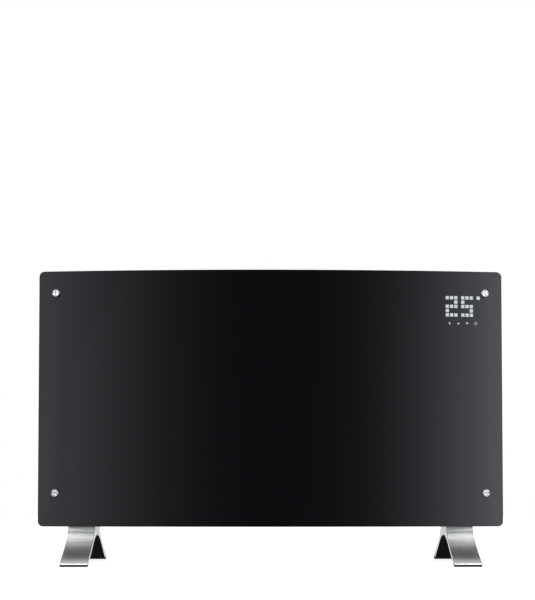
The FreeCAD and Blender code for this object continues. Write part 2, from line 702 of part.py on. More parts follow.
def make_front_housing():
    body = new_body("housing")
    plan = sketch_on(body, "housing_plan", "XY_Plane", casing_low)
    front_y = bow_y(plate_front, casing_half)
    outline(plan, [(f"-{casing_half}", front_y), (casing_half, front_y),
                   (casing_half, part_line), (f"-{casing_half}", part_line)],
            {0: (plate_front, "left")})
    pad(body, plan, casing_tall)
    front_edge = number_of(front_y) + same_place
    soften(body, "Fillet", "housing_round", lambda edge: all(v.Y < front_edge for v in edge.Vertexes))
    inside = sketch_on(body, "housing_inside", "XY_Plane", f"{casing_low} + casing_sheet")
    inner_half = f"({casing_half} - casing_sheet)"
    inner_y = bow_y(plate_back, inner_half)
    outline(inside, [(f"-{inner_half}", inner_y), (inner_half, inner_y),
                     (inner_half, f"{part_line} + casing_sheet"),
                     (f"-{inner_half}", f"{part_line} + casing_sheet")],
            {0: (plate_back, "left")})
    pocket(body, inside, f"{casing_tall} - 2 * casing_sheet", backwards=True)
    holes = sketch_on(body, "housing_holes", "XZ_Plane", "0")
    hole_x = f"({cap_x} * {plate_front} / glass_bow)"
    for x in (hole_x, f"-{hole_x}"):
        for z in ("(glass_bottom + cap_low)", f"({glass_top} - cap_drop)"):
            circle(holes, x, z, "stud_radius + 4 * bore_gap")
    window_x = f"({display_x} * {plate_front} / glass_bow)"
    rectangle(holes, f"{window_x} - mask_half - window_gap", f"{window_x} + mask_half + window_gap",
              f"{display_z} - mask_down - window_gap", f"{display_z} + mask_up + window_gap")
    for side in ("-", "+"):
        circle(holes, f"{window_x} {side} {ear_screw_x}", display_z, "board_screw + 4 * bore_gap")
    pocket(body, holes, backwards=True)
    screws = sketch_on(body, "housing_screw_holes", "XY_Plane", "0")
    for x in cover_screw_xs:
        circle(screws, x, cover_screw_y, "screw_radius + bore_gap")
    pocket(body, screws, backwards=True)
    keep("front_housing", body)


def make_rear_cover():
    body = new_body("cover")
    section = sketch_on(body, "cover_section", "YZ_Plane")
    low, high = casing_low, casing_high
    inner_low, inner_high = f"({low} + casing_sheet)", f"({high} - casing_sheet)"
    outline(section, [(cover_front, low), ("casing_back", low), ("casing_back", high), (cover_front, high),
                      (cover_front, inner_high), (back_inside, inner_high), (back_inside, inner_low),
                      (cover_front, inner_low)])
    pad(body, section, f"2 * {cover_half}", symmetric=True)
    soften(body, "Fillet", "casing_bend", along_x_at("casing_back", [low, high]))
    soften(body, "Fillet", "casing_bend - casing_sheet", along_x_at(back_inside, [inner_low, inner_high]))
    tongues = sketch_on(body, "cover_tongues", "YZ_Plane")
    tongue_back = f"{cover_front} + lap_root"
    rectangle(tongues, tongue_front, tongue_back, f"{inner_high} - casing_sheet", inner_high)
    rectangle(tongues, tongue_front, tongue_back, inner_low, f"{inner_low} + casing_sheet")
    pad(body, tongues, f"2 * {tongue_half}", symmetric=True)
    raised = sketch_on(body, "cover_raised_panel", "XZ_Plane", "-casing_back")
    panel_half = f"({casing_half} - panel_side)"
    rectangle(raised, f"-{panel_half}", panel_half, f"{low} + panel_rise", f"{high} - panel_rise")
    pad(body, raised, "panel_raise", backwards=True)
    top_of_panel = number_of("casing_back + panel_raise")
    soften(body, "Chamfer", "panel_raise - panel_step",
           lambda edge: abs(edge.BoundBox.YMin - top_of_panel) < same_place)
    slot = sketch_on(body, "cover_back_slot", "XZ_Plane")
    slot_count = f"(floor(2 * ({panel_half} - back_slot_side) / back_slot_pitch) + 1)"
    slot_run = f"(({slot_count} - 1) * back_slot_pitch)"
    slot_left = f"(-{slot_run} / 2 - back_slot_width / 2)"
    slot_right = f"({slot_left} + back_slot_width)"
    slot_low = f"({low} + panel_rise + back_slot_rise)"
    slot_high = f"({slot_low} + back_slot_height)"
    slot_end = ("(back_slot_width / 2 + key_flat)", "left")
    outline(slot, [(slot_left, slot_low), (slot_right, slot_low), (slot_right, slot_high),
                   (slot_left, slot_high)], {0: slot_end, 2: slot_end})
    repeat(body, [pocket(body, slot)], [(slot, "H_Axis", slot_run, slot_count),
                                        (slot, "V_Axis", "back_slot_rows", "2")])

    outlet = sketch_on(body, "cover_outlet", "XY_Plane", casing_middle)
    rectangle(outlet, f"-{outlet_half}", outlet_half, "vent_front", "vent_front + vent_width")
    pocket(body, outlet, backwards=True)
    inlet = sketch_on(body, "cover_inlet", "XY_Plane", casing_middle)
    rectangle(inlet, f"-{inlet_half}", inlet_half, "vent_front", "vent_front + vent_width")
    for x, y in foot_screw_places():
        circle(inlet, x, y, "foot_screw + bore_gap")
    pocket(body, inlet)
    heads = sketch_on(body, "cover_key_heads", "XZ_Plane")
    slots = sketch_on(body, "cover_key_slots", "XZ_Plane")
    key_z = f"({high} - key_drop)"
    key_end = f"({key_z} + key_rise)"
    for x in ("-key_spacing / 2", "key_spacing / 2"):
        left, right = f"{x} - key_slot", f"{x} + key_slot"
        circle(heads, x, key_z, "key_head")
        outline(slots, [(left, key_z), (right, key_z), (right, key_end), (left, key_end)],
                {2: ("(key_slot + key_flat)", "left")})
    for x in (f"-{end_screw_x}", end_screw_x):
        for z in end_screw_zs:
            circle(heads, x, z, "screw_radius + bore_gap")
    pocket(body, heads)
    pocket(body, slots)
    screws = sketch_on(body, "cover_screw_holes", "XY_Plane", "0")
    for x in cover_screw_xs:
        circle(screws, x, cover_screw_y, "screw_radius + bore_gap")
    pocket(body, screws, backwards=True)
    keep("rear_cover", body)


def make_end_caps():
    body = new_body("end_shell")
    side = sketch_on(body, "end_side", "YZ_Plane", f"{casing_half} - end_width")
    round_backed(side, cover_front, "casing_back", casing_low, casing_high, "casing_bend")
    pad(body, side, "end_width")
    outer = number_of(casing_half) - same_place
    front = number_of(cover_front) + same_place
    soften(body, "Fillet", "end_round",
           lambda edge: edge.BoundBox.XMin > outer and edge.BoundBox.YMax > front)
    inset = "(casing_sheet + lap_gap)"
    spigot = sketch_on(body, "end_spigot", "YZ_Plane", f"{casing_half} - end_width - spigot_length")
    round_backed(spigot, f"({cover_front} + {inset})", f"(casing_back - {inset})",
                 f"({casing_low} + 2 * {inset})", f"({casing_high} - 2 * {inset})",
                 f"(casing_bend - {inset})")
    pad(body, spigot, "spigot_length")
    hollow = sketch_on(body, "end_hollow", "YZ_Plane", f"{casing_half} - end_wall")
    rim = f"({inset} + spigot_wall)"
    rectangle(hollow, f"{cover_front} + {rim}", f"casing_back - {rim}",
              f"{casing_low} + 2 * {rim}", f"{casing_high} - 2 * {rim}")
    pocket(body, hollow, "end_width + spigot_length")
    bosses = sketch_on(body, "end_bosses", "YZ_Plane", f"{casing_half} - end_width - spigot_length")
    for z in end_screw_zs:
        rectangle(bosses, f"casing_back - {rim} - boss_size", f"casing_back - {inset}",
                  f"{z} - boss_size / 2", f"{z} + boss_size / 2")
    pad(body, bosses, "end_width + spigot_length - end_wall")
    pilots = sketch_on(body, "end_pilots", "XZ_Plane", "-casing_back")
    for z in end_screw_zs:
        circle(pilots, end_screw_x, z, "screw_radius + bore_gap")
    pocket(body, pilots, f"{inset} + screw_length", backwards=True)
    doc.recompute()

    left = doc.addObject("Part::Mirroring", "end_left")
    left.Source = body
    left.Normal = FreeCAD.Vector(1, 0, 0)
    keep("end_cap_left", left)
    wall = f"({casing_half} - 2 * end_wall)"
    hole_width = "(switch_width / 2 + bore_gap)"
    hole_height = "(switch_height / 2 + bore_gap)"
    switch_hole = block("switch_hole", wall, f"{casing_half} + end_wall",
                        f"switch_y - {hole_width}", f"switch_y + {hole_width}",
                        f"{switch_z} - {hole_height}", f"{switch_z} + {hole_height}")
    gland_hole = rod("gland_hole", "X", wall, "switch_y", gland_z, "gland_radius + bore_gap", "3 * end_wall")
    keep("end_cap_right", cut_away("end_right", body, [switch_hole, gland_hole]))


def make_casing_screws():
    profile = [
        ("0", "0"), ("-screw_length", "0"), ("-screw_length", "screw_radius"), ("0", "screw_radius"),
        ("0", "screw_head"), ("screw_head_height / 2", "screw_head"),
        ("screw_head_height", "screw_crown"), ("screw_head_height", "0")]
    pan_head = turned("pan_head", "Z", profile)
    top = copies("top_screws", pan_head, [(x, cover_screw_y, casing_high) for x in cover_screw_xs])
    upside_down = doc.addObject("Part::Mirroring", "pan_head_below")
    upside_down.Source = pan_head
    upside_down.Normal = FreeCAD.Vector(0, 0, 1)
    low = copies("low_screws", upside_down, [(x, cover_screw_y, casing_low) for x in cover_screw_xs])
    keep("housing_screws", together("housing_screw_set", [top, low]))
    rear_head = turned("rear_head", "Y", profile)
    places = [(x, "casing_back", z) for x in (f"-{end_screw_x}", end_screw_x) for z in end_screw_zs]
    keep("end_cap_screws", copies("end_screw_set", rear_head, places))


def make_grille(label, half_length):
    # A moulded frame with curved blades along its length and thin ribs across, made about the
    # middle of its vent with the rim on the outside, above.
    body = new_body(f"{label}_body")
    half_width = "(vent_width / 2)"
    rim = sketch_on(body, f"{label}_rim", "XY_Plane")
    rectangle(rim, f"-{half_length} - grille_rim", f"{half_length} + grille_rim",
              f"-{half_width} - grille_rim", f"{half_width} + grille_rim")
    pad(body, rim, "grille_thick")
    top = number_of("grille_thick") - same_place
    soften(body, "Chamfer", "grille_thick / 2", lambda edge: edge.BoundBox.ZMin > top)
    frame = sketch_on(body, f"{label}_frame", "XY_Plane")
    rectangle(frame, f"-{half_length} + lap_gap", f"{half_length} - lap_gap",
              f"-{half_width} + lap_gap", f"{half_width} - lap_gap")
    pad(body, frame, "grille_depth", backwards=True)
    opening = sketch_on(body, f"{label}_opening", "XY_Plane", "grille_thick")
    inner_half = f"({half_length} - lap_gap - grille_wall)"
    inner_width = f"({half_width} - lap_gap - grille_wall)"
    rectangle(opening, f"-{inner_half}", inner_half, f"-{inner_width}", inner_width)
    pocket(body, opening)
    blade = sketch_on(body, f"{label}_blade", "YZ_Plane")
    head, heel = "grille_thick / 2", "-grille_depth + blade_thick"
    first = "(-blade_pitch)"
    outline(blade, [(f"{first} - blade_lean / 2", head), (f"{first} + blade_lean / 2", heel),
                    (f"{first} + blade_lean / 2 + blade_thick", heel),
                    (f"{first} - blade_lean / 2 + blade_thick", head)],
            {0: ("blade_curve", "left"), 2: ("blade_curve", "right")})
    row = pad(body, blade, f"2 * {inner_half} + grille_wall", symmetric=True)
    repeat(body, [row], [(blade, "H_Axis", "2 * blade_pitch", "3")])
    ribs = sketch_on(body, f"{label}_rib", "XZ_Plane", f"-{inner_width} - grille_wall / 2")
    reach = f"(floor(({inner_half}) / rib_pitch) * rib_pitch)"
    rectangle(ribs, f"-{reach} - rib_thick / 2", f"-{reach} + rib_thick / 2",
              "-grille_depth + blade_thick", "0")
    rib = pad(body, ribs, f"2 * {inner_width} + grille_wall")
    repeat(body, [rib], [(ribs, "H_Axis", f"2 * {reach}", f"2 * floor(({inner_half}) / rib_pitch) + 1")])
    return body


def make_grilles():
    outlet = make_grille("outlet", outlet_half)
    put(outlet, "0", vent_middle, casing_high)
    keep("outlet_grille", outlet)
    inlet = make_grille("inlet", inlet_half)
    inlet.Placement = FreeCAD.Placement(FreeCAD.Vector(), FreeCAD.Rotation(FreeCAD.Vector(1, 0, 0), 180))
    put(inlet, "0", vent_middle, casing_low)
    keep("inlet_grille", inlet)


# Feet

def foot_screw_places():
    steps = ("- foot_screw_pitch / 2", "+ foot_screw_pitch / 2")
    return [(f"{side} {step}", "foot_screw_y") for side in (foot_x, f"-{foot_x}") for step in steps]


def make_foot():
    # A bent aluminium foot: flared legs, a neck under the casing and a rounded arch below.
    body = new_body("foot")
    side = sketch_on(body, "foot_side_view", "YZ_Plane")
    toe_top = "(pad_thick + toe_height)"
    heel = "(foot_reach - sole_length)"
    # The top of the arch is an arc that runs on smoothly from the straight inner faces of the legs.
    leg_lean = f"(({heel} - arch_half) / (arch_height - pad_thick))"
    arch_radius = f"(arch_half * sqrt(1 + {leg_lean}^2))"
    outline(side, [
        ("foot_reach", "pad_thick"), ("foot_reach", toe_top), ("neck_half", "neck_height"),
        ("crown_half", casing_low), ("-crown_half", casing_low),
        ("-neck_half", "neck_height"), ("-foot_reach", toe_top), ("-foot_reach", "pad_thick"),
        (f"-{heel}", "pad_thick"), ("-arch_half", "arch_height"),
        ("arch_half", "arch_height"), (heel, "pad_thick")],
        {1: ("flare_radius", "right"), 5: ("flare_radius", "right"), 9: (arch_radius, "right")})
    pad(body, side, "foot_width", symmetric=True)

    soften(body, "Fillet", "neck_round", along_x_at("neck_half", ["neck_height"]))
    soften(body, "Fillet", "toe_round", along_x_at("foot_reach", [toe_top]))
    side_face = number_of("foot_width") / 2 - same_place
    soften(body, "Chamfer", "foot_edge", lambda edge: abs(edge.CenterOfMass.x) > side_face)
    bores = sketch_on(body, "foot_bores", "XY_Plane", casing_low)
    seats = sketch_on(body, "foot_seats", "XY_Plane", "foot_seat")
    for x in ("-foot_screw_pitch / 2", "foot_screw_pitch / 2"):
        circle(bores, x, "foot_screw_y", "foot_screw + 2 * bore_gap")
        circle(seats, x, "foot_screw_y", "foot_head + 4 * bore_gap")
    pocket(body, bores)
    pocket(body, seats)
    return body


def make_feet():
    foot = make_foot()
    pad_body = new_body("foot_pad")
    soles = sketch_on(pad_body, "pad_soles", "XY_Plane")
    half = "(foot_width / 2 - pad_inset)"
    toe, heel = "(foot_reach - pad_inset)", "(foot_reach - sole_length + pad_inset)"
    rectangle(soles, f"-{half}", half, heel, toe)
    rectangle(soles, f"-{half}", half, f"-{toe}", f"-{heel}")
    pad(pad_body, soles, "pad_thick")
    for side, x in (("left", f"-{foot_x}"), ("right", foot_x)):
        keep(f"foot_{side}", copies(f"foot_{side}_copy", foot, [(x, "0", "0")]))
        keep(f"foot_pads_{side}", copies(f"pads_{side}_copy", pad_body, [(x, "0", "0")]))
    head_low = "(foot_seat - foot_head_height)"
    plate_low = f"({casing_low} + casing_sheet)"
    screw_end = f"({plate_low} + foot_plate_thick + foot_screw)"
    screw = turned("foot_screw_blank", "Z", [
        (head_low, "0"), (head_low, "foot_head"), ("foot_seat", "foot_head"), ("foot_seat", "foot_screw"),
        (screw_end, "foot_screw"), (screw_end, "0")])
    keep("foot_screws", copies("foot_screw_set", screw, [(x, y, "0") for x, y in foot_screw_places()]))
    plate = new_body("foot_plate")
    plan = sketch_on(plate, "foot_plate_plan", "XY_Plane", plate_low)
    rectangle(plan, "-foot_width / 2", "foot_width / 2",
              "foot_screw_y - foot_plate_depth / 2", "foot_screw_y + foot_plate_depth / 2")
    for x in ("-foot_screw_pitch / 2", "foot_screw_pitch / 2"):
        circle(plan, x, "foot_screw_y", "foot_screw + bore_gap")
    pad(plate, plan, "foot_plate_thick")
    keep("foot_nut_plates", copies("foot_plate_set", plate, [(foot_x, "0", "0"), (f"-{foot_x}", "0", "0")]))


# Heating elements, their bracket and the partition

def make_partition():
    body = new_body("partition_wall")
    plan = sketch_on(body, "partition_plan", "XY_Plane", f"{casing_low} + partition_rise")
    outline(plan, [(partition_x, partition_edge), (partition_face, partition_edge),
                   (partition_face, f"{back_inside} - bracket_sheet"),
                   (f"{partition_x} + bracket_flange", f"{back_inside} - bracket_sheet"),
                   (f"{partition_x} + bracket_flange", back_inside), (partition_x, back_inside)])
    pad(body, plan, f"{casing_tall} - 2 * partition_rise")
    holes = sketch_on(body, "partition_holes", "YZ_Plane", f"{partition_x} + bracket_flange")
    for z in element_zs:
        circle(holes, "element_y", z, "ceramic_radius + bore_gap")
    circle(holes, "element_y", f"{casing_low} + cutout_rise", "cutout_radius + bore_gap")
    pocket(body, holes)
    keep("partition", body)


def make_left_bracket():
    body = new_body("left_bracket")
    plan = sketch_on(body, "left_bracket_plan", "XY_Plane", f"{element_zs[0]} - bracket_margin")
    inner = f"({bracket_x} + bracket_sheet)"
    outline(plan, [(bracket_x, "element_y - ceramic_flange - bracket_sheet"),
                   (inner, "element_y - ceramic_flange - bracket_sheet"), (inner, back_inside),
                   (f"{inner} - bracket_flange", back_inside),
                   (f"{inner} - bracket_flange", f"{back_inside} - bracket_sheet"),
                   (bracket_x, f"{back_inside} - bracket_sheet")])
    pad(body, plan, "element_pitch + 2 * bracket_margin")
    holes = sketch_on(body, "left_bracket_holes", "YZ_Plane", f"{inner}")
    for z in element_zs:
        circle(holes, "element_y", z, "ceramic_radius + bore_gap")
    pocket(body, holes, "bracket_sheet * 2")
    keep("element_bracket", body)


def make_elements():
    start = f"({bracket_x} + bracket_sheet + element_clear)"
    length = f"({partition_x} - element_clear - {start})"
    slits = f"floor(({length} - fin_pitch) / fin_pitch)"
    fins = new_body("element_fins")
    hub = sketch_on(fins, "element_hub", "YZ_Plane", start)
    circle(hub, "0", "0", "hub_radius")
    pad(fins, hub, length)
    lean = "/ sqrt(2)"
    for name, turn in (("rising", ""), ("falling", "-")):
        wing = sketch_on(fins, f"element_wing_{name}", "YZ_Plane", start)
        near = f"((wing_reach - wing_thick / 2) {lean})"
        far = f"((wing_reach + wing_thick / 2) {lean})"
        corners = [(f"-{far}", f"-{near}"), (f"-{near}", f"-{far}"), (far, near), (near, far)]
        outline(wing, [(y, z) if turn == "" else (y, f"-({z})") for y, z in corners])
        pad(fins, wing, length)
    bore = sketch_on(fins, "element_bore", "YZ_Plane", start)
    circle(bore, "0", "0", "core_radius + bore_gap")
    pocket(fins, bore, backwards=True)
    slit = sketch_on(fins, "element_slit", "YZ_Plane", f"{start} + fin_pitch")
    circle(slit, "0", "0", "2 * wing_reach")
    circle(slit, "0", "0", "fin_root")
    cut = pocket(fins, slit, "fin_slit", backwards=True)
    pattern = fins.newObject("PartDesign::LinearPattern", "element_slits")
    pattern.Originals = [cut]
    pattern.Direction = (slit, ["N_Axis"])
    bind(pattern, Length=f"({slits} - 1) * fin_pitch", Occurrences=slits)
    fins.Tip = pattern

    rod_start = f"({bracket_x} - core_out)"
    rod_end = f"({partition_face} + core_out)"
    core = turned("element_core", "X", [
        (f"{rod_start} - pin_out", "0"), (f"{rod_start} - pin_out", "pin_radius"), (rod_start, "pin_radius"),
        (rod_start, "core_radius"), (rod_end, "core_radius"), (rod_end, "pin_radius"),
        (f"{rod_end} + pin_out", "pin_radius"), (f"{rod_end} + pin_out", "0")])
    for name, z in zip(("lower", "upper"), element_zs):
        keep(f"element_fins_{name}", copies(f"fins_{name}", fins, [("0", "element_y", z)]))
        keep(f"element_core_{name}", copies(f"core_{name}", core, [("0", "element_y", z)]))
    # Each ceramic bush has its flange on the element's side of the sheet.
    right = turned("ceramic_right", "X", [
        ("-ceramic_thick", "core_radius + bore_gap"), ("-ceramic_thick", "ceramic_flange"),
        ("0", "ceramic_flange"), ("0", "ceramic_radius"), ("ceramic_length", "ceramic_radius"),
        ("ceramic_length", "core_radius + bore_gap")])
    left = doc.addObject("Part::Mirroring", "ceramic_left")
    left.Source = right
    left.Normal = FreeCAD.Vector(1, 0, 0)
    rights = copies("ceramics_right", right, [(partition_x, "element_y", z) for z in element_zs])
    bracket_face = f"{bracket_x} + bracket_sheet"
    lefts = copies("ceramics_left", left, [(bracket_face, "element_y", z) for z in element_zs])
    keep("ceramic_bushes", together("ceramic_set", [rights, lefts]))


def make_cutout():
    z = f"({casing_low} + cutout_rise)"
    face = "(-cutout_flange_thick - cutout_face)"
    face_radius = "(cutout_radius - cutout_step)"
    case = turned("cutout_case", "X", [
        (face, "0"), (face, face_radius), ("-cutout_flange_thick", face_radius),
        ("-cutout_flange_thick", "cutout_flange"), ("0", "cutout_flange"), ("0", "cutout_radius"),
        ("cutout_body", "cutout_radius"), ("cutout_body", "0")])
    seated = copies("cutout_seated", case, [(partition_x, "element_y", z)])
    keep("thermal_cutout", seated)
    end = f"({partition_x} + cutout_body)"
    blades = [block(f"cutout_blade_{index}", end, f"{end} + blade_length",
                    f"element_y {offset} - blade_sheet / 2", f"element_y {offset} + blade_sheet / 2",
                    f"{z} - blade_width / 2", f"{z} + blade_width / 2")
              for index, offset in enumerate(("- cutout_radius / 2", "+ cutout_radius / 2"))]
    keep("cutout_terminals", together("cutout_blades", blades))


# Power board and what it carries

def make_power_board():
    left = f"({partition_x} + board_left)"
    low = f"({casing_low} + board_rise)"
    back = f"({back_inside} - spacer_height)"
    face = f"({back} - board_thick)"
    xs = (f"{left} + board_inset", f"{left} + board_width - board_inset")
    zs = (f"{low} + board_inset", f"{low} + board_height - board_inset")
    corners = [(x, z) for x in xs for z in zs]
    plate = block("board_plate", left, f"{left} + board_width", face, back, low, f"{low} + board_height")
    holes = [rod(f"board_hole_{index}", "Y", x, f"{face} - board_thick", z, "board_screw + bore_gap",
                 "3 * board_thick") for index, (x, z) in enumerate(corners)]
    keep("power_board", cut_away("board_drilled", plate, holes))
    spacer = turned("board_spacer", "Y", [
        ("0", "board_screw + bore_gap"), ("0", "spacer_radius"), ("spacer_height", "spacer_radius"),
        ("spacer_height", "board_screw + bore_gap")])
    keep("board_spacers", copies("spacer_set", spacer, [(x, back, z) for x, z in corners]))
    keep("board_screws", copies("board_screw_set", board_screw, [(x, face, z) for x, z in corners]))

    relays = []
    for index, step in enumerate(("0", "relay_pitch")):
        x = f"({left} + relay_inset + {step} - relay_width / 2)"
        z = f"({low} + relay_inset)"
        case = block(f"relay_case_{index}", x, f"{x} + relay_width", f"{face} - relay_height", face,
                     z, f"{z} + relay_length")
        relays.append(case)
    keep("relays", together("relay_set", relays))

    x, z = f"({left} + coil_left)", f"({low} + coil_rise)"
    winding = block("coil_winding", f"{x} + coil_core", f"{x} + coil_width - coil_core",
                    f"{face} - coil_height", face, z, f"{z} + coil_length")
    plates = block("coil_plates", x, f"{x} + coil_width", f"{face} - coil_height + coil_core",
                   f"{face} - coil_core", f"{z} + coil_core", f"{z} + coil_length - coil_core")
    keep("transformer", fused("transformer_whole", [winding, plates]))
    can = turned("capacitor_can", "Y", [
        ("0", "0"), ("0", "can_radius"), ("-can_height + can_round", "can_radius"),
        ("-can_height", "can_radius - can_round"), ("-can_height", "0")])
    keep("capacitor", copies("capacitor_copy", can, [(f"{left} + can_left", face, f"{low} + can_rise")]))


def make_board_screw():
    return turned("board_screw_blank", "Y", [
        ("-board_head_height", "0"), ("-board_head_height", "board_crown"),
        ("-board_head_height / 2", "board_head"), ("0", "board_head"), ("0", "board_screw"),
        ("board_screw_length", "board_screw"), ("board_screw_length", "0")])


def make_terminal_block():
    left = f"({partition_x} + block_left)"
    low = f"({casing_low} + block_rise)"
    face = f"({back_inside} - block_depth)"
    case = block("block_case", left, f"{left} + block_width", face, back_inside, low, f"{low} + block_height")
    ways = [rod(f"block_way_{index}", "Z", f"{left} + block_width / 2 {step}", f"{face} + block_depth / 2",
                f"{low} - block_hole", "block_hole", "block_height + 2 * block_hole")
            for index, step in enumerate(("- block_pitch", "", "+ block_pitch"))]
    wells = [rod(f"block_well_{index}", "Y", f"{left} + block_width / 2 {step}", f"{face} - block_hole",
                 f"{low} + block_height / 2", "block_hole", "block_depth / 2")
             for index, step in enumerate(("- block_pitch", "", "+ block_pitch"))]
    keep("terminal_block", cut_away("block_drilled", case, ways + wells))


# Display behind the glass: mask, light tiles, touch pads and board in the display's own place

def display_place():
    x = f"({display_x} * {glass_back} / glass_bow)"
    return [(x, bow_y(glass_back, x), display_z, f"asin({display_x} / glass_bow)", 1)]


def dot_square(sketch, x, z, size):
    rectangle(sketch, f"{x} - {size} / 2", f"{x} + {size} / 2", f"{z} - {size} / 2", f"{z} + {size} / 2")


def dot_field(body, name, size, depth, make, front):
    # Two digits of three by five dots, repeated from one corner dot, and one dot for the degree mark.
    first = sketch_on(body, f"{name}_dot", "XZ_Plane", f"-({front})")
    dot_square(first, "(-digits_left - digit_pitch / 2 - dot_pitch)", "(dots_rise - 2 * dot_pitch)", size)
    dot = make(body, first, depth)
    repeat(body, [dot], [(first, "H_Axis", "2 * dot_pitch", "3"), (first, "V_Axis", "4 * dot_pitch", "5"),
                         (first, "H_Axis", "digit_pitch", "2")])
    degree = sketch_on(body, f"{name}_degree", "XZ_Plane", f"-({front})")
    dot_square(degree, "degree_right", "(dots_rise + 2 * dot_pitch)", size)
    make(body, degree, depth)


def touch_xs():
    return [f"({step} * touch_pitch)" for step in (-1.5, -0.5, 0.5, 1.5)]


def make_display():
    mask = new_body("mask")
    block_front = sketch_on(mask, "mask_block", "XZ_Plane", "-mask_gap")
    rectangle(block_front, "-mask_half", "mask_half", "-mask_down", "mask_up")
    pad(mask, block_front, f"{mask_back} - mask_gap", backwards=True)
    ear_front = "(glass_gap + casing_sheet + mask_gap)"
    ears = sketch_on(mask, "mask_ears", "XZ_Plane", f"-{ear_front}")
    rectangle(ears, "-mask_half - ear_width", "mask_half + ear_width", "-ear_half", "ear_half")
    pad(mask, ears, "ear_thick", backwards=True)
    dot_field(mask, "mask_wells", "(dot_size + 2 * dot_gap)", None, pocket, "mask_gap")
    keys = sketch_on(mask, "mask_keys", "XZ_Plane", "-mask_gap")
    for x in touch_xs():
        circle(keys, x, "-keys_drop", "touch_radius + dot_gap")
    for x in (ear_screw_x, f"-{ear_screw_x}"):
        circle(keys, x, "0", "board_screw + bore_gap")
    pocket(mask, keys)
    keep("display_mask", copies("mask_placed", mask, display_place()))

    tiles = new_body("tiles")
    dot_field(tiles, "tiles", "dot_size", "tile_thick",
              lambda body, sketch, depth: pad(body, sketch, depth, backwards=True), "mask_gap")
    keep("light_tiles", copies("tiles_placed", tiles, display_place()))

    touch = new_body("touch")
    pads = sketch_on(touch, "touch_faces", "XZ_Plane", "-mask_gap")
    for x in touch_xs():
        circle(pads, x, "-keys_drop", "touch_radius")
    pad(touch, pads, f"{mask_back} - mask_gap", backwards=True)
    keep("touch_pads", copies("touch_placed", touch, display_place()))

    board = new_body("display_board_blank")
    face = sketch_on(board, "display_board_face", "XZ_Plane", f"-{mask_back}")
    rectangle(face, "-mask_half", "mask_half", "-mask_down", "mask_up")
    pad(board, face, "board_thick", backwards=True)
    keep("display_board", copies("display_board_placed", board, display_place()))

    # The screws bite forward through the ears into the casing front.
    screw_tip = "(-ear_thick - mask_gap - casing_sheet)"
    screw = turned("display_screw", "Y", [
        ("board_head_height", "0"), ("board_head_height", "board_crown"),
        ("board_head_height / 2", "board_head"), ("0", "board_head"), ("0", "board_screw"),
        (screw_tip, "board_screw"), (screw_tip, "0")])
    screw_back = f"({ear_front} + ear_thick)"
    ears_xs = (ear_screw_x, f"-{ear_screw_x}")
    pair = copies("display_screw_pair", screw, [(x, screw_back, "0") for x in ears_xs])
    keep("display_screws", copies("display_screws_placed", pair, display_place()))


# Air sensor and tip-over switch on the partition

def make_air_sensor():
    low = f"({casing_low} + sensor_rise)"
    x = f"({partition_face} + sensor_out)"
    body = block("clip_body", partition_face, f"{x} + clip_half",
                 f"{sensor_y} - clip_half", f"{sensor_y} + clip_half", low, f"{low} + clip_height")
    hole = rod("clip_hole", "Z", x, sensor_y, f"{low} - clip_height", "sensor_radius + bore_gap",
               "3 * clip_height")
    keep("sensor_clip", cut_away("clip_drilled", body, [hole]))
    middle = "(sensor_length - clip_height) / 2"
    sensor = turned("sensor_bead", "Z", [
        (f"-{middle}", "0"), (f"-{middle}", "sensor_radius / 2"),
        (f"-{middle} + sensor_radius / 2", "sensor_radius"),
        (f"clip_height + {middle} - sensor_radius / 2", "sensor_radius"),
        (f"clip_height + {middle}", "sensor_radius / 2"), (f"clip_height + {middle}", "0")])
    keep("air_sensor", copies("sensor_placed", sensor, [(x, sensor_y, low)]))


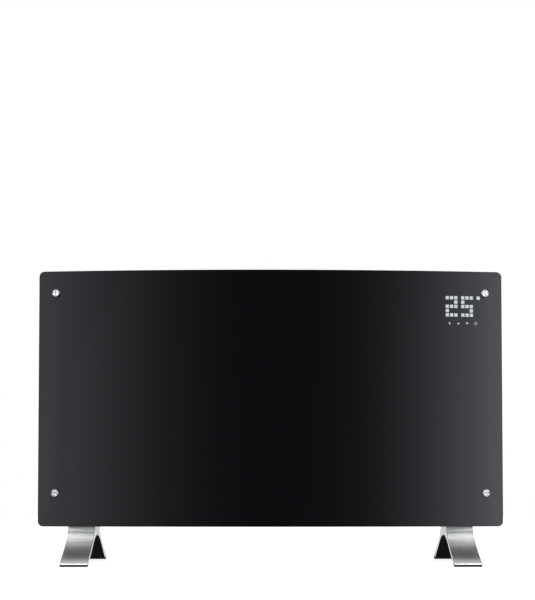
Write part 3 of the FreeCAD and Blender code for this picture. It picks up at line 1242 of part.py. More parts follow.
def make_tilt_switch():
    inner = f"({partition_face} + cheek_thick)"
    swing = f"({inner} + tilt_side)"
    outer = f"({swing} + tilt_width + tilt_side)"
    middle = f"({swing} + tilt_width / 2)"
    gate_low = f"({pivot_z} - tilt_drop - tilt_weight - vane_drop - gate_base)"
    y0, y1 = "tilt_y - cheek_half", "tilt_y + cheek_half"
    top = f"({pivot_z} + cheek_top)"
    back_plate = block("tilt_back", partition_face, inner, y0, y1, f"{gate_low} - cheek_thick", top)
    roof = block("tilt_roof", partition_face, f"{outer} + cheek_thick", y0, y1, f"{top} - cheek_thick", top)
    cheek = block("tilt_cheek", outer, f"{outer} + cheek_thick", y0, y1, f"{pivot_z} - cheek_low", top)
    shelf = block("tilt_shelf", partition_face, f"{swing} + tilt_width", y0, y1,
                  f"{gate_low} - cheek_thick", gate_low)
    frame = fused("tilt_frame", [back_plate, roof, cheek, shelf])
    bore = rod("tilt_bore", "X", partition_face, "tilt_y", pivot_z, "tilt_pin + press_gap",
               f"{outer} + 2 * cheek_thick - {partition_face}")
    keep("tilt_bracket", cut_away("tilt_bracket_bored", frame, [bore]))
    keep("tilt_pin", rod("tilt_pin_rod", "X", partition_face, "tilt_y", pivot_z, "tilt_pin",
                         f"{outer} + cheek_thick - {partition_face}"))
    hub = rod("pendulum_hub", "X", swing, "tilt_y", pivot_z, "tilt_hub", "tilt_width")
    weight_z = f"({pivot_z} - tilt_drop)"
    arm = block("pendulum_arm", swing, f"{swing} + tilt_width",
                "tilt_y - tilt_arm / 2", "tilt_y + tilt_arm / 2", weight_z, pivot_z)
    weight = rod("pendulum_weight", "X", swing, "tilt_y", weight_z, "tilt_weight", "tilt_width")
    vane = block("pendulum_vane", f"{middle} - vane_thick / 2", f"{middle} + vane_thick / 2",
                 "tilt_y - vane_width / 2", "tilt_y + vane_width / 2",
                 f"{weight_z} - tilt_weight - vane_drop + vane_thick", weight_z)
    pendulum = fused("pendulum_whole", [hub, arm, weight, vane])
    eye = rod("pendulum_eye", "X", partition_face, "tilt_y", pivot_z, "tilt_pin + run_gap",
              f"{outer} + cheek_thick - {partition_face}")
    keep("tilt_pendulum", cut_away("pendulum_bored", pendulum, [eye]))
    gate_x0 = f"({middle} - gate_gap / 2 - gate_arm)"
    gate_x1 = f"({middle} + gate_gap / 2 + gate_arm)"
    gate_y0, gate_y1 = "tilt_y - gate_depth / 2", "tilt_y + gate_depth / 2"
    gate = block("gate_block", gate_x0, gate_x1, gate_y0, gate_y1,
                 gate_low, f"{gate_low} + gate_base + gate_reach")
    slot = block("gate_slot", f"{middle} - gate_gap / 2", f"{middle} + gate_gap / 2",
                 f"{gate_y0} - gate_arm", f"{gate_y1} + gate_arm",
                 f"{gate_low} + gate_base", f"{gate_low} + gate_base + 2 * gate_reach")
    keep("tilt_light_gate", cut_away("gate_slotted", gate, [slot]))


# Main switch and cord gland on the right end cap

def make_main_switch():
    face = casing_half
    pivot = f"({face} - rocker_pivot)"
    inner_end = f"({face} - switch_depth)"
    flange = block("bezel_flange", face, f"{face} + bezel_thick",
                   "switch_y - bezel_width / 2", "switch_y + bezel_width / 2",
                   f"{switch_z} - bezel_height / 2", f"{switch_z} + bezel_height / 2")
    case = block("bezel_case", inner_end, face, "switch_y - switch_width / 2", "switch_y + switch_width / 2",
                 f"{switch_z} - switch_height / 2", f"{switch_z} + switch_height / 2")
    well_width = "(switch_width / 2 - switch_side)"
    well_height = "(switch_height / 2 - switch_end)"
    well = block("bezel_well", f"{inner_end} + switch_floor", f"{face} + 2 * bezel_thick",
                 f"switch_y - {well_width}", f"switch_y + {well_width}",
                 f"{switch_z} - {well_height}", f"{switch_z} + {well_height}")
    bearing = rod("bezel_bearing", "Y", pivot, "switch_y - switch_width", switch_z,
                  "trunnion_radius + run_gap", "2 * switch_width")
    whole = fused("bezel_whole", [flange, case])
    keep("switch_bezel", cut_away("bezel_hollow", whole, [well, bearing]))

    # The rocker is drawn level about its pivot and rests tipped to one side.
    rocker = new_body("rocker")
    side = sketch_on(rocker, "rocker_side", "XZ_Plane")
    outline(side, [("rocker_mid", "0"), ("rocker_tip", "rocker_half"), ("-rocker_skirt", "rocker_half"),
                   ("-rocker_deep", "rocker_foot"), ("-rocker_deep", "-rocker_foot"),
                   ("-rocker_skirt", "-rocker_half"), ("rocker_tip", "-rocker_half")])
    width = "(switch_width - 2 * switch_side - 2 * swing_gap)"
    pad(rocker, side, width, symmetric=True)
    trunnions = sketch_on(rocker, "rocker_trunnions", "XZ_Plane")
    circle(trunnions, "0", "0", "trunnion_radius")
    pad(rocker, trunnions, f"{width} + 2 * trunnion_out", symmetric=True)
    rocker.Placement = FreeCAD.Placement(FreeCAD.Vector(), FreeCAD.Rotation(FreeCAD.Vector(0, 1, 0),
                                                                            number_of("rocker_tilt")))
    rocker.setExpression("Placement.Rotation.Angle", cells("rocker_tilt"))
    put(rocker, pivot, "switch_y", switch_z)
    keep("switch_rocker", rocker)
    blades = [block(f"switch_blade_{index}", f"{inner_end} - blade_length", inner_end,
                    "switch_y - blade_width / 2", "switch_y + blade_width / 2",
                    f"{switch_z} {step} - blade_sheet / 2", f"{switch_z} {step} + blade_sheet / 2")
              for index, step in enumerate(("- rocker_foot", "+ rocker_foot"))]
    keep("switch_terminals", together("switch_blades", blades))


def make_gland():
    wall = f"({casing_half} - end_wall)"
    gland = turned("gland_body", "X", [
        ("gland_flange_thick", "gland_bore"), ("gland_flange_thick", "gland_flange - gland_flange_thick / 2"),
        ("gland_flange_thick / 2", "gland_flange"), ("0", "gland_flange"), ("0", "gland_radius"),
        ("-gland_length", "gland_radius"), ("-gland_length", "gland_bore")])
    keep("cord_gland", copies("gland_placed", gland, [(casing_half, "switch_y", gland_z)]))
    nut = new_body("gland_nut_blank")
    flats = sketch_on(nut, "gland_nut_flats", "YZ_Plane")
    outline(flats, hexagon_corners("gland_nut_across"))
    circle(flats, "0", "0", "gland_radius + bore_gap")
    pad(nut, flats, "gland_nut_thick", backwards=True)
    keep("gland_nut", copies("gland_nut_placed", nut, [(wall, "switch_y", gland_z)]))


make_glass()
make_corner_fixings()
make_front_housing()
make_rear_cover()
make_end_caps()
make_casing_screws()
make_grilles()
make_feet()
make_partition()
make_left_bracket()
make_elements()
make_cutout()
board_screw = make_board_screw()
make_power_board()
make_terminal_block()
make_display()
make_air_sensor()
make_tilt_switch()
make_main_switch()
make_gland()

doc.recompute()
failed = [thing.Label for thing in doc.Objects if {"Invalid", "Error"} & set(thing.State)]
failed += [thing.Label for thing in sub_parts if thing.Shape.isNull() or not thing.Shape.isValid()]
if failed:
    raise RuntimeError("failed: " + ", ".join(failed))
os.makedirs("parts", exist_ok=True)
for thing in sub_parts:
    thing.Shape.exportStep(f"parts/{thing.Label}.step")
    print(thing.Label, len(thing.Shape.Solids), round(thing.Shape.Volume, 1))
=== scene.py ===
import json
import math

import bmesh
import bpy
from mathutils import Matrix, Vector


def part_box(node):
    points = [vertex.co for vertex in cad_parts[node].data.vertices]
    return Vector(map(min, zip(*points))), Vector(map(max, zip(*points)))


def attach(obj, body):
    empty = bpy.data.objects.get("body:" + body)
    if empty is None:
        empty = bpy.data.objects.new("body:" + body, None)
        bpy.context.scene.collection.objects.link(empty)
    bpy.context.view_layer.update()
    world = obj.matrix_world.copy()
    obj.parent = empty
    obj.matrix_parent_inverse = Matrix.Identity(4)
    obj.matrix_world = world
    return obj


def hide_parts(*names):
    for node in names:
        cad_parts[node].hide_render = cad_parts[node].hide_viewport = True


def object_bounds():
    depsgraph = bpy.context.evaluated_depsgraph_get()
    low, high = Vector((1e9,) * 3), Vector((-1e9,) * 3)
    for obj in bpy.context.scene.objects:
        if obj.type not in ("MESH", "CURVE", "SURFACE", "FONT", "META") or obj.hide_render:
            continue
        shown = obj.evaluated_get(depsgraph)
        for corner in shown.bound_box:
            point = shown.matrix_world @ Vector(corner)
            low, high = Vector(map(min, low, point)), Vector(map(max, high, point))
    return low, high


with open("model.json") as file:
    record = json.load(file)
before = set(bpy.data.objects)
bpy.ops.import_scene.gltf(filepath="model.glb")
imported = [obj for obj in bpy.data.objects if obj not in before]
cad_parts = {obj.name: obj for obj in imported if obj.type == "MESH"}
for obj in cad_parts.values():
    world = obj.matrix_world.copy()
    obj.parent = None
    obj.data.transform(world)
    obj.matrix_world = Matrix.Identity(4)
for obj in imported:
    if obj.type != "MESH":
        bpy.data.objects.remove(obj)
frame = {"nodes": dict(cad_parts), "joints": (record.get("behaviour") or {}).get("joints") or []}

scene = bpy.context.scene
nodes = frame["nodes"]
joints = {joint["name"]: joint for joint in frame["joints"]}
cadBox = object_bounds()
mm = 0.001
tenthMm = 4        # decimals of a metre that keep a tenth of a millimetre
hundredthMm = 5
noiseSpan = (0.3, 0.7)     # most of a noise pattern lies between these
wavePeriod = 0.314         # length of a wave pattern's band at scale 1
quarterTurn = math.radians(90)
print("frame loaded:", len(nodes), "CAD nodes")


# Node trees: a wired socket with operators, and a tree that makes any node in one call

class Wire:
    def __init__(self, tree, socket):
        self.tree = tree
        self.socket = socket

    def maths(self, operation, first, second):
        return self.tree.add("ShaderNodeMath", {"operation": operation}, {0: first, 1: second})

    def __add__(self, other):
        return self.maths("ADD", self, other)

    def __radd__(self, other):
        return self.maths("ADD", other, self)

    def __sub__(self, other):
        return self.maths("SUBTRACT", self, other)

    def __rsub__(self, other):
        return self.maths("SUBTRACT", other, self)

    def __mul__(self, other):
        return self.maths("MULTIPLY", self, other)

    def __rmul__(self, other):
        return self.maths("MULTIPLY", other, self)

    def __truediv__(self, other):
        return self.maths("DIVIDE", self, other)

    def __pow__(self, other):
        return self.maths("POWER", self, other)

    def __gt__(self, other):
        return self.maths("GREATER_THAN", self, other)

    def __lt__(self, other):
        return self.maths("LESS_THAN", self, other)

    def least(self, other):
        return self.maths("MINIMUM", self, other)

    def most(self, other):
        return self.maths("MAXIMUM", self, other)

    def size(self):
        return self.most(0.0 - self)

    def angleFrom(self, other):
        return self.maths("ARCTAN2", self, other)


class Tree:
    def __init__(self, nodeTree):
        self.nodeTree = nodeTree

    def add(self, kind, settings=None, inputs=None, output=0):
        made = self.nodeTree.nodes.new(kind)
        for key, value in (settings or {}).items():
            if key == "stops":
                self.setStops(made.color_ramp, value)
            else:
                setattr(made, key, value)
        for key, value in (inputs or {}).items():
            if isinstance(value, Wire):
                self.nodeTree.links.new(value.socket, made.inputs[key])
            else:
                made.inputs[key].default_value = value
        return Wire(self, made.outputs[output]) if made.outputs else made

    def setStops(self, ramp, stops):
        while len(ramp.elements) < len(stops):
            ramp.elements.new(1.0)
        for element, (position, colour) in zip(ramp.elements, stops):
            element.position = position
            element.color = (*colour, 1.0)

    def place(self, scale=(1, 1, 1), turn=(0, 0, 0), shift=(0, 0, 0)):
        coords = self.add("ShaderNodeTexCoord", output="Object")
        return self.add("ShaderNodeMapping", None,
                        {"Vector": coords, "Location": shift, "Rotation": turn, "Scale": scale})

    def axes(self, vector):
        split = self.add("ShaderNodeSeparateXYZ", None, {"Vector": vector}).socket.node
        return [Wire(self, socket) for socket in split.outputs]

    def noise(self, grain, vector=None, detail=2.0, rough=0.5):
        vector = vector or self.place()
        return self.add("ShaderNodeTexNoise", None,
                        {"Vector": vector, "Scale": 1 / grain, "Detail": detail, "Roughness": rough})

    def ease(self, value, low, high, toLow=0.0, toHigh=1.0):
        return self.add("ShaderNodeMapRange", {"interpolation_type": "SMOOTHSTEP"},
                        {"Value": value, "From Min": low, "From Max": high,
                         "To Min": toLow, "To Max": toHigh})

    def mix(self, share, first, second):
        return self.add("ShaderNodeMix", {"data_type": "RGBA"}, {0: share, 6: first, 7: second}, 2)

    def bump(self, height, depth):
        return self.add("ShaderNodeBump", None, {"Height": height, "Distance": depth, "Strength": 1.0})


surfaceSockets = {
    "colour": "Base Color",
    "metal": "Metallic",
    "rough": "Roughness",
    "specular": "Specular IOR Level",
    "normal": "Normal",
    "glowColour": "Emission Color",
    "glow": "Emission Strength",
}


class Finish(Tree):
    def __init__(self, name):
        self.material = bpy.data.materials.new(name)
        self.material.use_nodes = True
        super().__init__(self.material.node_tree)
        self.nodeTree.nodes.clear()

    def toned(self, tone, colour, shares):
        # the colour between its darkest and its lightest share
        darkest, lightest = shares
        return self.mix(tone, shade(colour, darkest), shade(colour, lightest))

    def unevenRough(self, tone, look, span=noiseSpan):
        return self.ease(tone, *span, look["rough"] - look["spread"], look["rough"] + look["spread"])

    def surface(self, **values):
        inputs = {surfaceSockets[key]: value for key, value in values.items()}
        return self.add("ShaderNodeBsdfPrincipled", None, inputs)

    def close(self, shader):
        self.add("ShaderNodeOutputMaterial", None, {"Surface": shader})
        return self.material


def shade(colour, factor):
    return (*[part * factor for part in colour[:3]], 1.0)


def blend(first, second, share):
    return share * first + (1 - share) * second


# Finishes

def mouldedPlastic(name, look):
    # fine eroded tool texture over a slow change of tone
    finish = Finish(name)
    tone = finish.noise(look["patch"], detail=3.0)
    texture = finish.noise(look["grain"], detail=1.0)
    return finish.close(finish.surface(
        colour=finish.toned(tone, look["colour"], look["shares"]),
        rough=finish.unevenRough(tone, look),
        normal=finish.bump(texture, look["depth"])))


def workedMetal(name, look):
    # long grain of brushing or drawing, stretched along one direction
    finish = Finish(name)
    grain = finish.noise(look["grain"], finish.place(scale=look["stretch"]), detail=3.0)
    patch = finish.noise(look["patch"])
    tone = blend(grain, patch, look["grainShare"])
    return finish.close(finish.surface(
        colour=finish.toned(tone, look["colour"], look["shares"]),
        metal=1.0,
        rough=finish.unevenRough(tone, look, look["span"]),
        normal=finish.bump(grain, look["depth"])))


glassLook = {
    "print": (0.0016, 0.0019, 0.0023),         # black print behind the glass
    "shares": (0.9, 1.1),
    "rough": 0.03,
    "spread": 0.008,
    "haze": 90 * mm,
    "edgeWidth": (0.72 * mm, 0.9 * mm),        # where the ground edge starts to fade, and ends
    "chamfer": (0.0025, 0.0025, 0.0027, 1.0),
    "chamferFaces": -0.35,                     # the front chamfer looks forward more than this
    "groundEdge": (0.20, 0.225, 0.215, 1.0),   # flat of the edge, ground and unprinted
    "edgeRough": 0.55,
    "edgeGloss": 0.05,
}


def blackGlass():
    finish = Finish("blackGlass")
    low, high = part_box("glass_panel")
    middle = (low + high) / 2
    haze = finish.noise(glassLook["haze"])
    pane = finish.surface(
        colour=finish.toned(haze, glassLook["print"], glassLook["shares"]),
        rough=finish.unevenRough(haze, glassLook))
    towards = finish.axes(finish.add("ShaderNodeNewGeometry", output="True Normal"))
    flat = towards[1] > glassLook["chamferFaces"]
    ground = finish.surface(
        colour=finish.mix(flat, glassLook["chamfer"], glassLook["groundEdge"]),
        rough=glassLook["edgeRough"],
        specular=glassLook["edgeGloss"])
    x, y, z = finish.axes(finish.place(shift=-middle))
    fromSide = (high.x - middle.x) - x.size()
    fromEnd = (high.z - middle.z) - z.size()
    rim = finish.ease(fromSide.least(fromEnd), *glassLook["edgeWidth"], 1.0, 0.0)
    return finish.close(finish.add("ShaderNodeMixShader", None, {0: rim, 1: pane, 2: ground}))


capLook = {
    "colour": (0.47, 0.47, 0.48),
    "shares": (0.95, 1.05),
    "rough": 0.15,
    "spread": 0.03,
    "patch": 4 * mm,
}


def spunMetal():
    # the turned rings are real grooves, so the finish only clouds the metal a little
    finish = Finish("spunMetal")
    cloud = finish.noise(capLook["patch"])
    return finish.close(finish.surface(
        colour=finish.toned(cloud, capLook["colour"], capLook["shares"]),
        metal=1.0,
        rough=finish.unevenRough(cloud, capLook)))


footLook = {
    "colour": (0.80, 0.81, 0.82),
    "shares": (0.95, 1.04),
    "rough": 0.14,
    "spread": 0.03,
    "metal": 0.95,                     # the rest of the satin skin scatters light
    "neck": (55 * mm, 61 * mm),        # the brushing stops short of the casing
    "neckMetal": 0.37,                 # and leaves the skin matt there
    "toe": (5 * mm, 16 * mm),          # it fades out towards the toe too
    "toeShine": 0.85,
    "grain": 0.35 * mm,                # brushed along the leg
    "stretch": (1.0, 0.012, 0.012),
    "depth": 0.003 * mm,
    "patch": 30 * mm,
    "grainShare": 0.5,
    # sawn ends, duller than the brushed faces
    "sawn": {
        "colour": (0.40, 0.404, 0.41),
        "shares": (0.9, 1.08),
        "faces": 0.9,                  # they look sideways more than this
        "shine": 0.35,
        "rougher": 0.1,
    },
    # black satin skin: painted shade on the faces that look down under the arch, and the pad's rubber on
    # the toe's lowest band
    "paintedShadeAndPad": {
        "colour": (0.0014, 0.0017, 0.0016),
        "shares": (0.8, 1.2),
        "rough": 0.6,
        "gloss": 0.02,
        "grain": 0.6 * mm,
        "depth": 0.02 * mm,
        "faces": -0.70,                # faces that look down more than this are painted black, as painted shade under the arch
        "padLap": 3.8 * mm,            # the rubber of the pad laps the lower edge
    },
}


def brushedFoot():
    finish = Finish("brushedFoot")
    ends = footLook["sawn"]
    black = footLook["paintedShadeAndPad"]
    grain = finish.noise(footLook["grain"], finish.place(scale=footLook["stretch"]), detail=3.0)
    cloud = finish.noise(footLook["patch"])
    tone = blend(grain, cloud, footLook["grainShare"])
    towards = finish.axes(finish.add("ShaderNodeNewGeometry", output="True Normal"))
    sideways = towards[0].size() > ends["faces"]
    height = finish.axes(finish.place())[2]
    shine = finish.ease(height, *footLook["toe"], footLook["toeShine"], 1.0)
    shine = shine * (1 - (1 - ends["shine"]) * sideways)
    face = finish.toned(tone, footLook["colour"], footLook["shares"])
    sawn = finish.toned(tone, ends["colour"], ends["shares"])
    brushed = finish.surface(
        colour=finish.mix(sideways, face, sawn),
        metal=shine * finish.ease(height, *footLook["neck"], footLook["metal"], footLook["neckMetal"]),
        rough=finish.unevenRough(tone, footLook) + ends["rougher"] * sideways,
        normal=finish.bump(grain, footLook["depth"]))
    coat = finish.noise(black["grain"])
    paintedShadeAndPad = finish.surface(
        colour=finish.toned(coat, black["colour"], black["shares"]),
        rough=black["rough"],
        specular=black["gloss"],
        normal=finish.bump(coat, black["depth"]))
    # painted shade on the downward faces, and the pad's rubber lapping the toe's lower edge
    shadeAndPadMask = (towards[2] < black["faces"]).most(height < black["padLap"])
    return finish.close(finish.add("ShaderNodeMixShader", None, {0: shadeAndPadMask, 1: brushed, 2: paintedShadeAndPad}))


paintLook = {
    "colour": (0.010, 0.010, 0.011),
    "shares": (0.85, 1.2),
    "rough": 0.52,
    "spread": 0.05,
    "grain": 0.55 * mm,    # fine-texture powder coat
    "depth": 0.05 * mm,
    "patch": 60 * mm,
    "grainShare": 0.8,
}


def powderCoat():
    finish = Finish("powderCoat")
    texture = finish.noise(paintLook["grain"], rough=0.6)
    patch = finish.noise(paintLook["patch"])
    tone = blend(texture, patch, paintLook["grainShare"])
    return finish.close(finish.surface(
        colour=finish.toned(tone, paintLook["colour"], paintLook["shares"]),
        rough=finish.unevenRough(tone, paintLook),
        normal=finish.bump(texture, paintLook["depth"])))


rubberLook = {
    "colour": (0.014, 0.014, 0.014),
    "shares": (0.7, 1.5),
    "rough": 0.72,
    "spread": 0.08,
    "grain": 0.8 * mm,
    "rib": 1.6 * mm,
    "ribShare": 0.7,
    "depth": 0.15 * mm,
}


def padRubber():
    # moulded rubber with shallow ribs across the sole
    finish = Finish("padRubber")
    dust = finish.noise(rubberLook["grain"], detail=3.0)
    ribs = finish.add("ShaderNodeTexWave", {"bands_direction": "Y"},
                      {"Vector": finish.place(), "Scale": wavePeriod / rubberLook["rib"],
                       "Distortion": 0.0})
    height = blend(ribs, dust, rubberLook["ribShare"])
    return finish.close(finish.surface(
        colour=finish.toned(dust, rubberLook["colour"], rubberLook["shares"]),
        rough=finish.unevenRough(dust, rubberLook),
        normal=finish.bump(height, rubberLook["depth"])))


zincLook = {
    "colour": (0.58, 0.59, 0.60),
    "shares": (0.8, 1.12),
    "rough": (0.28, 0.46),
    "spangle": 9 * mm,
}


def galvanised():
    finish = Finish("galvanised")
    spangle = finish.add("ShaderNodeTexVoronoi", None,
                         {"Vector": finish.place(), "Scale": 1 / zincLook["spangle"]}, "Color")
    tone = finish.axes(spangle)[0]
    return finish.close(finish.surface(
        colour=finish.toned(tone, zincLook["colour"], zincLook["shares"]),
        metal=1.0,
        rough=finish.ease(tone, 0.0, 1.0, *zincLook["rough"])))


boardLook = {
    "mask": (0.012, 0.075, 0.030, 1.0),
    "track": (0.022, 0.130, 0.055, 1.0),
    "pitch": 5 * mm,
    "run": (2.6, 0.7),         # length and spacing of the copper runs, in pitches
    "runWidth": 0.09,
    "runFade": 0.3,
    "stagger": 0.37,
    "runShare": 0.8,
    "depth": 0.04 * mm,
    "weave": 0.4 * mm,
    "weaveSpan": (0.2, 0.8),
    "rough": (0.28, 0.42),
}


def boardLaminate():
    # green solder mask with copper runs showing through as lighter lines
    finish = Finish("boardLaminate")
    upright = finish.place(turn=(quarterTurn, 0, 0))
    length, spacing = boardLook["run"]
    runs = finish.add("ShaderNodeTexBrick", {"offset": boardLook["stagger"], "squash": 1.0},
                      {"Vector": upright, "Scale": 1 / boardLook["pitch"],
                       "Mortar Size": boardLook["runWidth"], "Mortar Smooth": boardLook["runFade"],
                       "Brick Width": length, "Row Height": spacing}, "Fac")
    weave = finish.noise(boardLook["weave"])
    height = blend(runs, weave, boardLook["runShare"])
    return finish.close(finish.surface(
        colour=finish.mix(runs, boardLook["mask"], boardLook["track"]),
        rough=finish.ease(weave, *boardLook["weaveSpan"], *boardLook["rough"]),
        normal=finish.bump(height, boardLook["depth"])))


coilLook = {
    "tape": (0.62, 0.45, 0.10, 1.0),
    "seam": (0.40, 0.28, 0.06, 1.0),
    "wrap": 6 * mm,
    "wander": 0.4,             # how far the wraps stray from straight
    "seamPower": 6.0,          # a higher power makes a narrower seam
    "rough": (0.35, 0.5),
    "depth": 0.06 * mm,
}


def windingTape():
    finish = Finish("windingTape")
    wraps = finish.add("ShaderNodeTexWave", {"bands_direction": "Z", "wave_profile": "SAW"},
                       {"Vector": finish.place(), "Scale": wavePeriod / coilLook["wrap"],
                        "Distortion": coilLook["wander"]})
    return finish.close(finish.surface(
        colour=finish.mix(wraps ** coilLook["seamPower"], coilLook["tape"], coilLook["seam"]),
        rough=finish.ease(wraps, 0.0, 1.0, *coilLook["rough"]),
        normal=finish.bump(wraps, coilLook["depth"])))


lightLook = {
    "glow": (0.90, 0.945, 0.97),
    "glowShares": (0.88, 1.0),
    "tile": (0.030, 0.031, 0.032),
    "tileShares": (0.9, 1.0),
    "rough": 0.35,
    "grain": 1.2 * mm,
}


def litTile(name, strength):
    # light that comes through the milky tile, a little uneven over its face
    finish = Finish(name)
    cloud = finish.noise(lightLook["grain"], detail=1.0)
    return finish.close(finish.surface(
        colour=finish.toned(cloud, lightLook["tile"], lightLook["tileShares"]),
        rough=lightLook["rough"],
        glowColour=finish.toned(cloud, lightLook["glow"], lightLook["glowShares"]),
        glow=strength))


anyPlastic = {"shares": (0.85, 1.15), "spread": 0.05, "patch": 25 * mm}
plastics = {
    "nylon": {"colour": (0.60, 0.59, 0.55), "rough": 0.45, "grain": 0.5 * mm, "depth": 0.01 * mm},
    "endPlastic": {"colour": (0.010, 0.010, 0.011), "rough": 0.46, "grain": 0.45 * mm, "depth": 0.03 * mm},
    "grillePlastic": {"colour": (0.009, 0.009, 0.0095), "rough": 0.5,
                      "grain": 0.4 * mm, "depth": 0.03 * mm},
    "phenolic": {"colour": (0.055, 0.040, 0.034), "rough": 0.3, "grain": 0.3 * mm, "depth": 0.008 * mm},
    "relayCase": {"colour": (0.035, 0.095, 0.300), "rough": 0.28, "grain": 0.3 * mm, "depth": 0.005 * mm},
    "canSleeve": {"colour": (0.022, 0.022, 0.040), "rough": 0.25, "grain": 0.3 * mm, "depth": 0.005 * mm},
    "blockNylon": {"colour": (0.70, 0.68, 0.62), "rough": 0.42, "grain": 0.5 * mm, "depth": 0.01 * mm},
    "maskPlastic": {"colour": (0.022, 0.022, 0.022), "rough": 0.6, "grain": 0.4 * mm, "depth": 0.02 * mm},
    "milkyTile": {"colour": (0.70, 0.72, 0.73), "rough": 0.35, "grain": 0.6 * mm, "depth": 0.005 * mm},
    "touchFoam": {"colour": (0.05, 0.05, 0.05), "rough": 0.9, "grain": 0.7 * mm, "depth": 0.12 * mm},
    "sensorResin": {"colour": (0.04, 0.04, 0.045), "rough": 0.22, "grain": 0.8 * mm, "depth": 0.02 * mm},
    "gatePlastic": {"colour": (0.03, 0.03, 0.03), "rough": 0.4, "grain": 0.3 * mm, "depth": 0.01 * mm},
    "switchPlastic": {"colour": (0.018, 0.018, 0.019), "rough": 0.3,
                      "grain": 0.35 * mm, "depth": 0.012 * mm},
    "glandPlastic": {"colour": (0.022, 0.022, 0.023), "rough": 0.5, "grain": 0.4 * mm, "depth": 0.03 * mm},
    "ceramic": {"colour": (0.74, 0.71, 0.64), "rough": 0.55, "grain": 0.9 * mm, "depth": 0.03 * mm},
    "markWhite": {"colour": (0.75, 0.75, 0.73), "rough": 0.4, "grain": 0.3 * mm, "depth": 0.005 * mm},
}
anyMetal = {
    "shares": (0.88, 1.06),
    "spread": 0.06,
    "span": (0.25, 0.75),
    "patch": 12 * mm,
    "grainShare": 0.6,
    "depth": 0.006 * mm,
}
metals = {
    "postSteel": {"colour": (0.60, 0.60, 0.61), "rough": 0.25,
                  "grain": 0.3 * mm, "stretch": (0.2, 1, 0.2)},
    "blackZinc": {"colour": (0.085, 0.085, 0.09), "rough": 0.34, "grain": 0.4 * mm, "stretch": (1, 1, 1)},
    "platedScrew": {"colour": (0.62, 0.61, 0.58), "rough": 0.28, "grain": 0.4 * mm, "stretch": (1, 1, 1)},
    "elementAluminium": {"colour": (0.66, 0.66, 0.67), "rough": 0.34,
                         "grain": 0.8 * mm, "stretch": (0.02, 1, 1)},
    "coreSteel": {"colour": (0.50, 0.49, 0.47), "rough": 0.4, "grain": 0.5 * mm, "stretch": (0.05, 1, 1)},
    "terminalBrass": {"colour": (0.75, 0.60, 0.30), "rough": 0.3,
                      "grain": 0.3 * mm, "stretch": (0.1, 1, 1)},
    "pinSteel": {"colour": (0.66, 0.66, 0.67), "rough": 0.18, "grain": 0.2 * mm, "stretch": (1, 0.1, 0.1)},
    "weightBrass": {"colour": (0.70, 0.54, 0.25), "rough": 0.26,
                    "grain": 0.3 * mm, "stretch": (1, 0.3, 0.3)},
}
finishes = {
    "blackGlass": blackGlass(),
    "spunMetal": spunMetal(),
    "brushedFoot": brushedFoot(),
    "powderCoat": powderCoat(),
    "padRubber": padRubber(),
    "galvanised": galvanised(),
    "boardLaminate": boardLaminate(),
    "windingTape": windingTape(),
}
for name, look in plastics.items():
    finishes[name] = mouldedPlastic(name, {**anyPlastic, **look})
for name, look in metals.items():
    finishes[name] = workedMetal(name, {**anyMetal, **look})

cadFinishes = {
    "blackGlass": ["glass_panel"],
    "nylon": ["glass_bushes", "glass_washers"],
    "postSteel": ["standoff_posts", "post_nuts"],
    "powderCoat": ["front_housing", "rear_cover"],
    "endPlastic": ["end_cap_left", "end_cap_right"],
    "grillePlastic": ["outlet_grille", "inlet_grille"],
    "platedScrew": ["foot_nut_plates", "board_screws", "display_screws", "board_spacers"],
    "brushedFoot": ["foot_left", "foot_right"],
    "padRubber": ["foot_pads_left", "foot_pads_right"],
    "elementAluminium": ["element_fins_lower", "element_fins_upper"],
    "coreSteel": ["element_core_lower", "element_core_upper"],
    "ceramic": ["ceramic_bushes"],
    "galvanised": ["partition", "element_bracket", "sensor_clip"],
    "phenolic": ["thermal_cutout"],
    "terminalBrass": ["cutout_terminals", "switch_terminals"],
    "boardLaminate": ["power_board", "display_board"],
    "relayCase": ["relays"],
    "windingTape": ["transformer"],
    "canSleeve": ["capacitor"],
    "blockNylon": ["terminal_block"],
    "maskPlastic": ["display_mask", "tilt_bracket"],
    "milkyTile": ["light_tiles"],
    "touchFoam": ["touch_pads"],
    "sensorResin": ["air_sensor"],
    "pinSteel": ["tilt_pin"],
    "weightBrass": ["tilt_pendulum"],
    "gatePlastic": ["tilt_light_gate"],
    "glandPlastic": ["cord_gland", "gland_nut"],
}
for finishName, members in cadFinishes.items():
    for member in members:
        slots = nodes[member].data.materials
        slots.clear()
        slots.append(finishes[finishName])
dressedCount = sum(len(members) for members in cadFinishes.values())
print("finishes:", len(finishes), "on", dressedCount, "CAD nodes")


# Meshes and pieces

madeWeld = 0.0005 * mm     # points closer than this are merged, in a made mesh
cadWeld = 0.002 * mm       # and in the loose triangles of a CAD node


def newObject(name, mesh):
    made = bpy.data.objects.new(name, mesh)
    scene.collection.objects.link(made)
    return made


def meshOf(name, build):
    work = bmesh.new()
    build(work)
    bmesh.ops.remove_doubles(work, verts=work.verts, dist=madeWeld)
    bmesh.ops.recalc_face_normals(work, faces=work.faces)
    mesh = bpy.data.meshes.new(name)
    work.to_mesh(mesh)
    work.free()
    return mesh


def baked(source):
    # the mesh that the modifiers give, with the modifiers gone
    bpy.context.view_layer.update()
    evaluated = source.evaluated_get(bpy.context.evaluated_depsgraph_get())
    mesh = bpy.data.meshes.new_from_object(evaluated)
    source.modifiers.clear()
    return mesh


def smooth(mesh, sharpAngle=None):
    mesh.polygons.foreach_set("use_smooth", [True] * len(mesh.polygons))
    if sharpAngle is not None:
        mesh.set_sharp_from_angle(angle=math.radians(sharpAngle))
    return mesh


def lathe(work, profile, steps):
    # turns (radius, height) pairs about Z
    ring = [work.verts.new((radius, 0, height)) for radius, height in profile]
    edges = [work.edges.new(pair) for pair in zip(ring, ring[1:])]
    bmesh.ops.spin(work, geom=ring + edges, axis=(0, 0, 1), cent=(0, 0, 0),
                   steps=steps, angle=2 * math.pi)


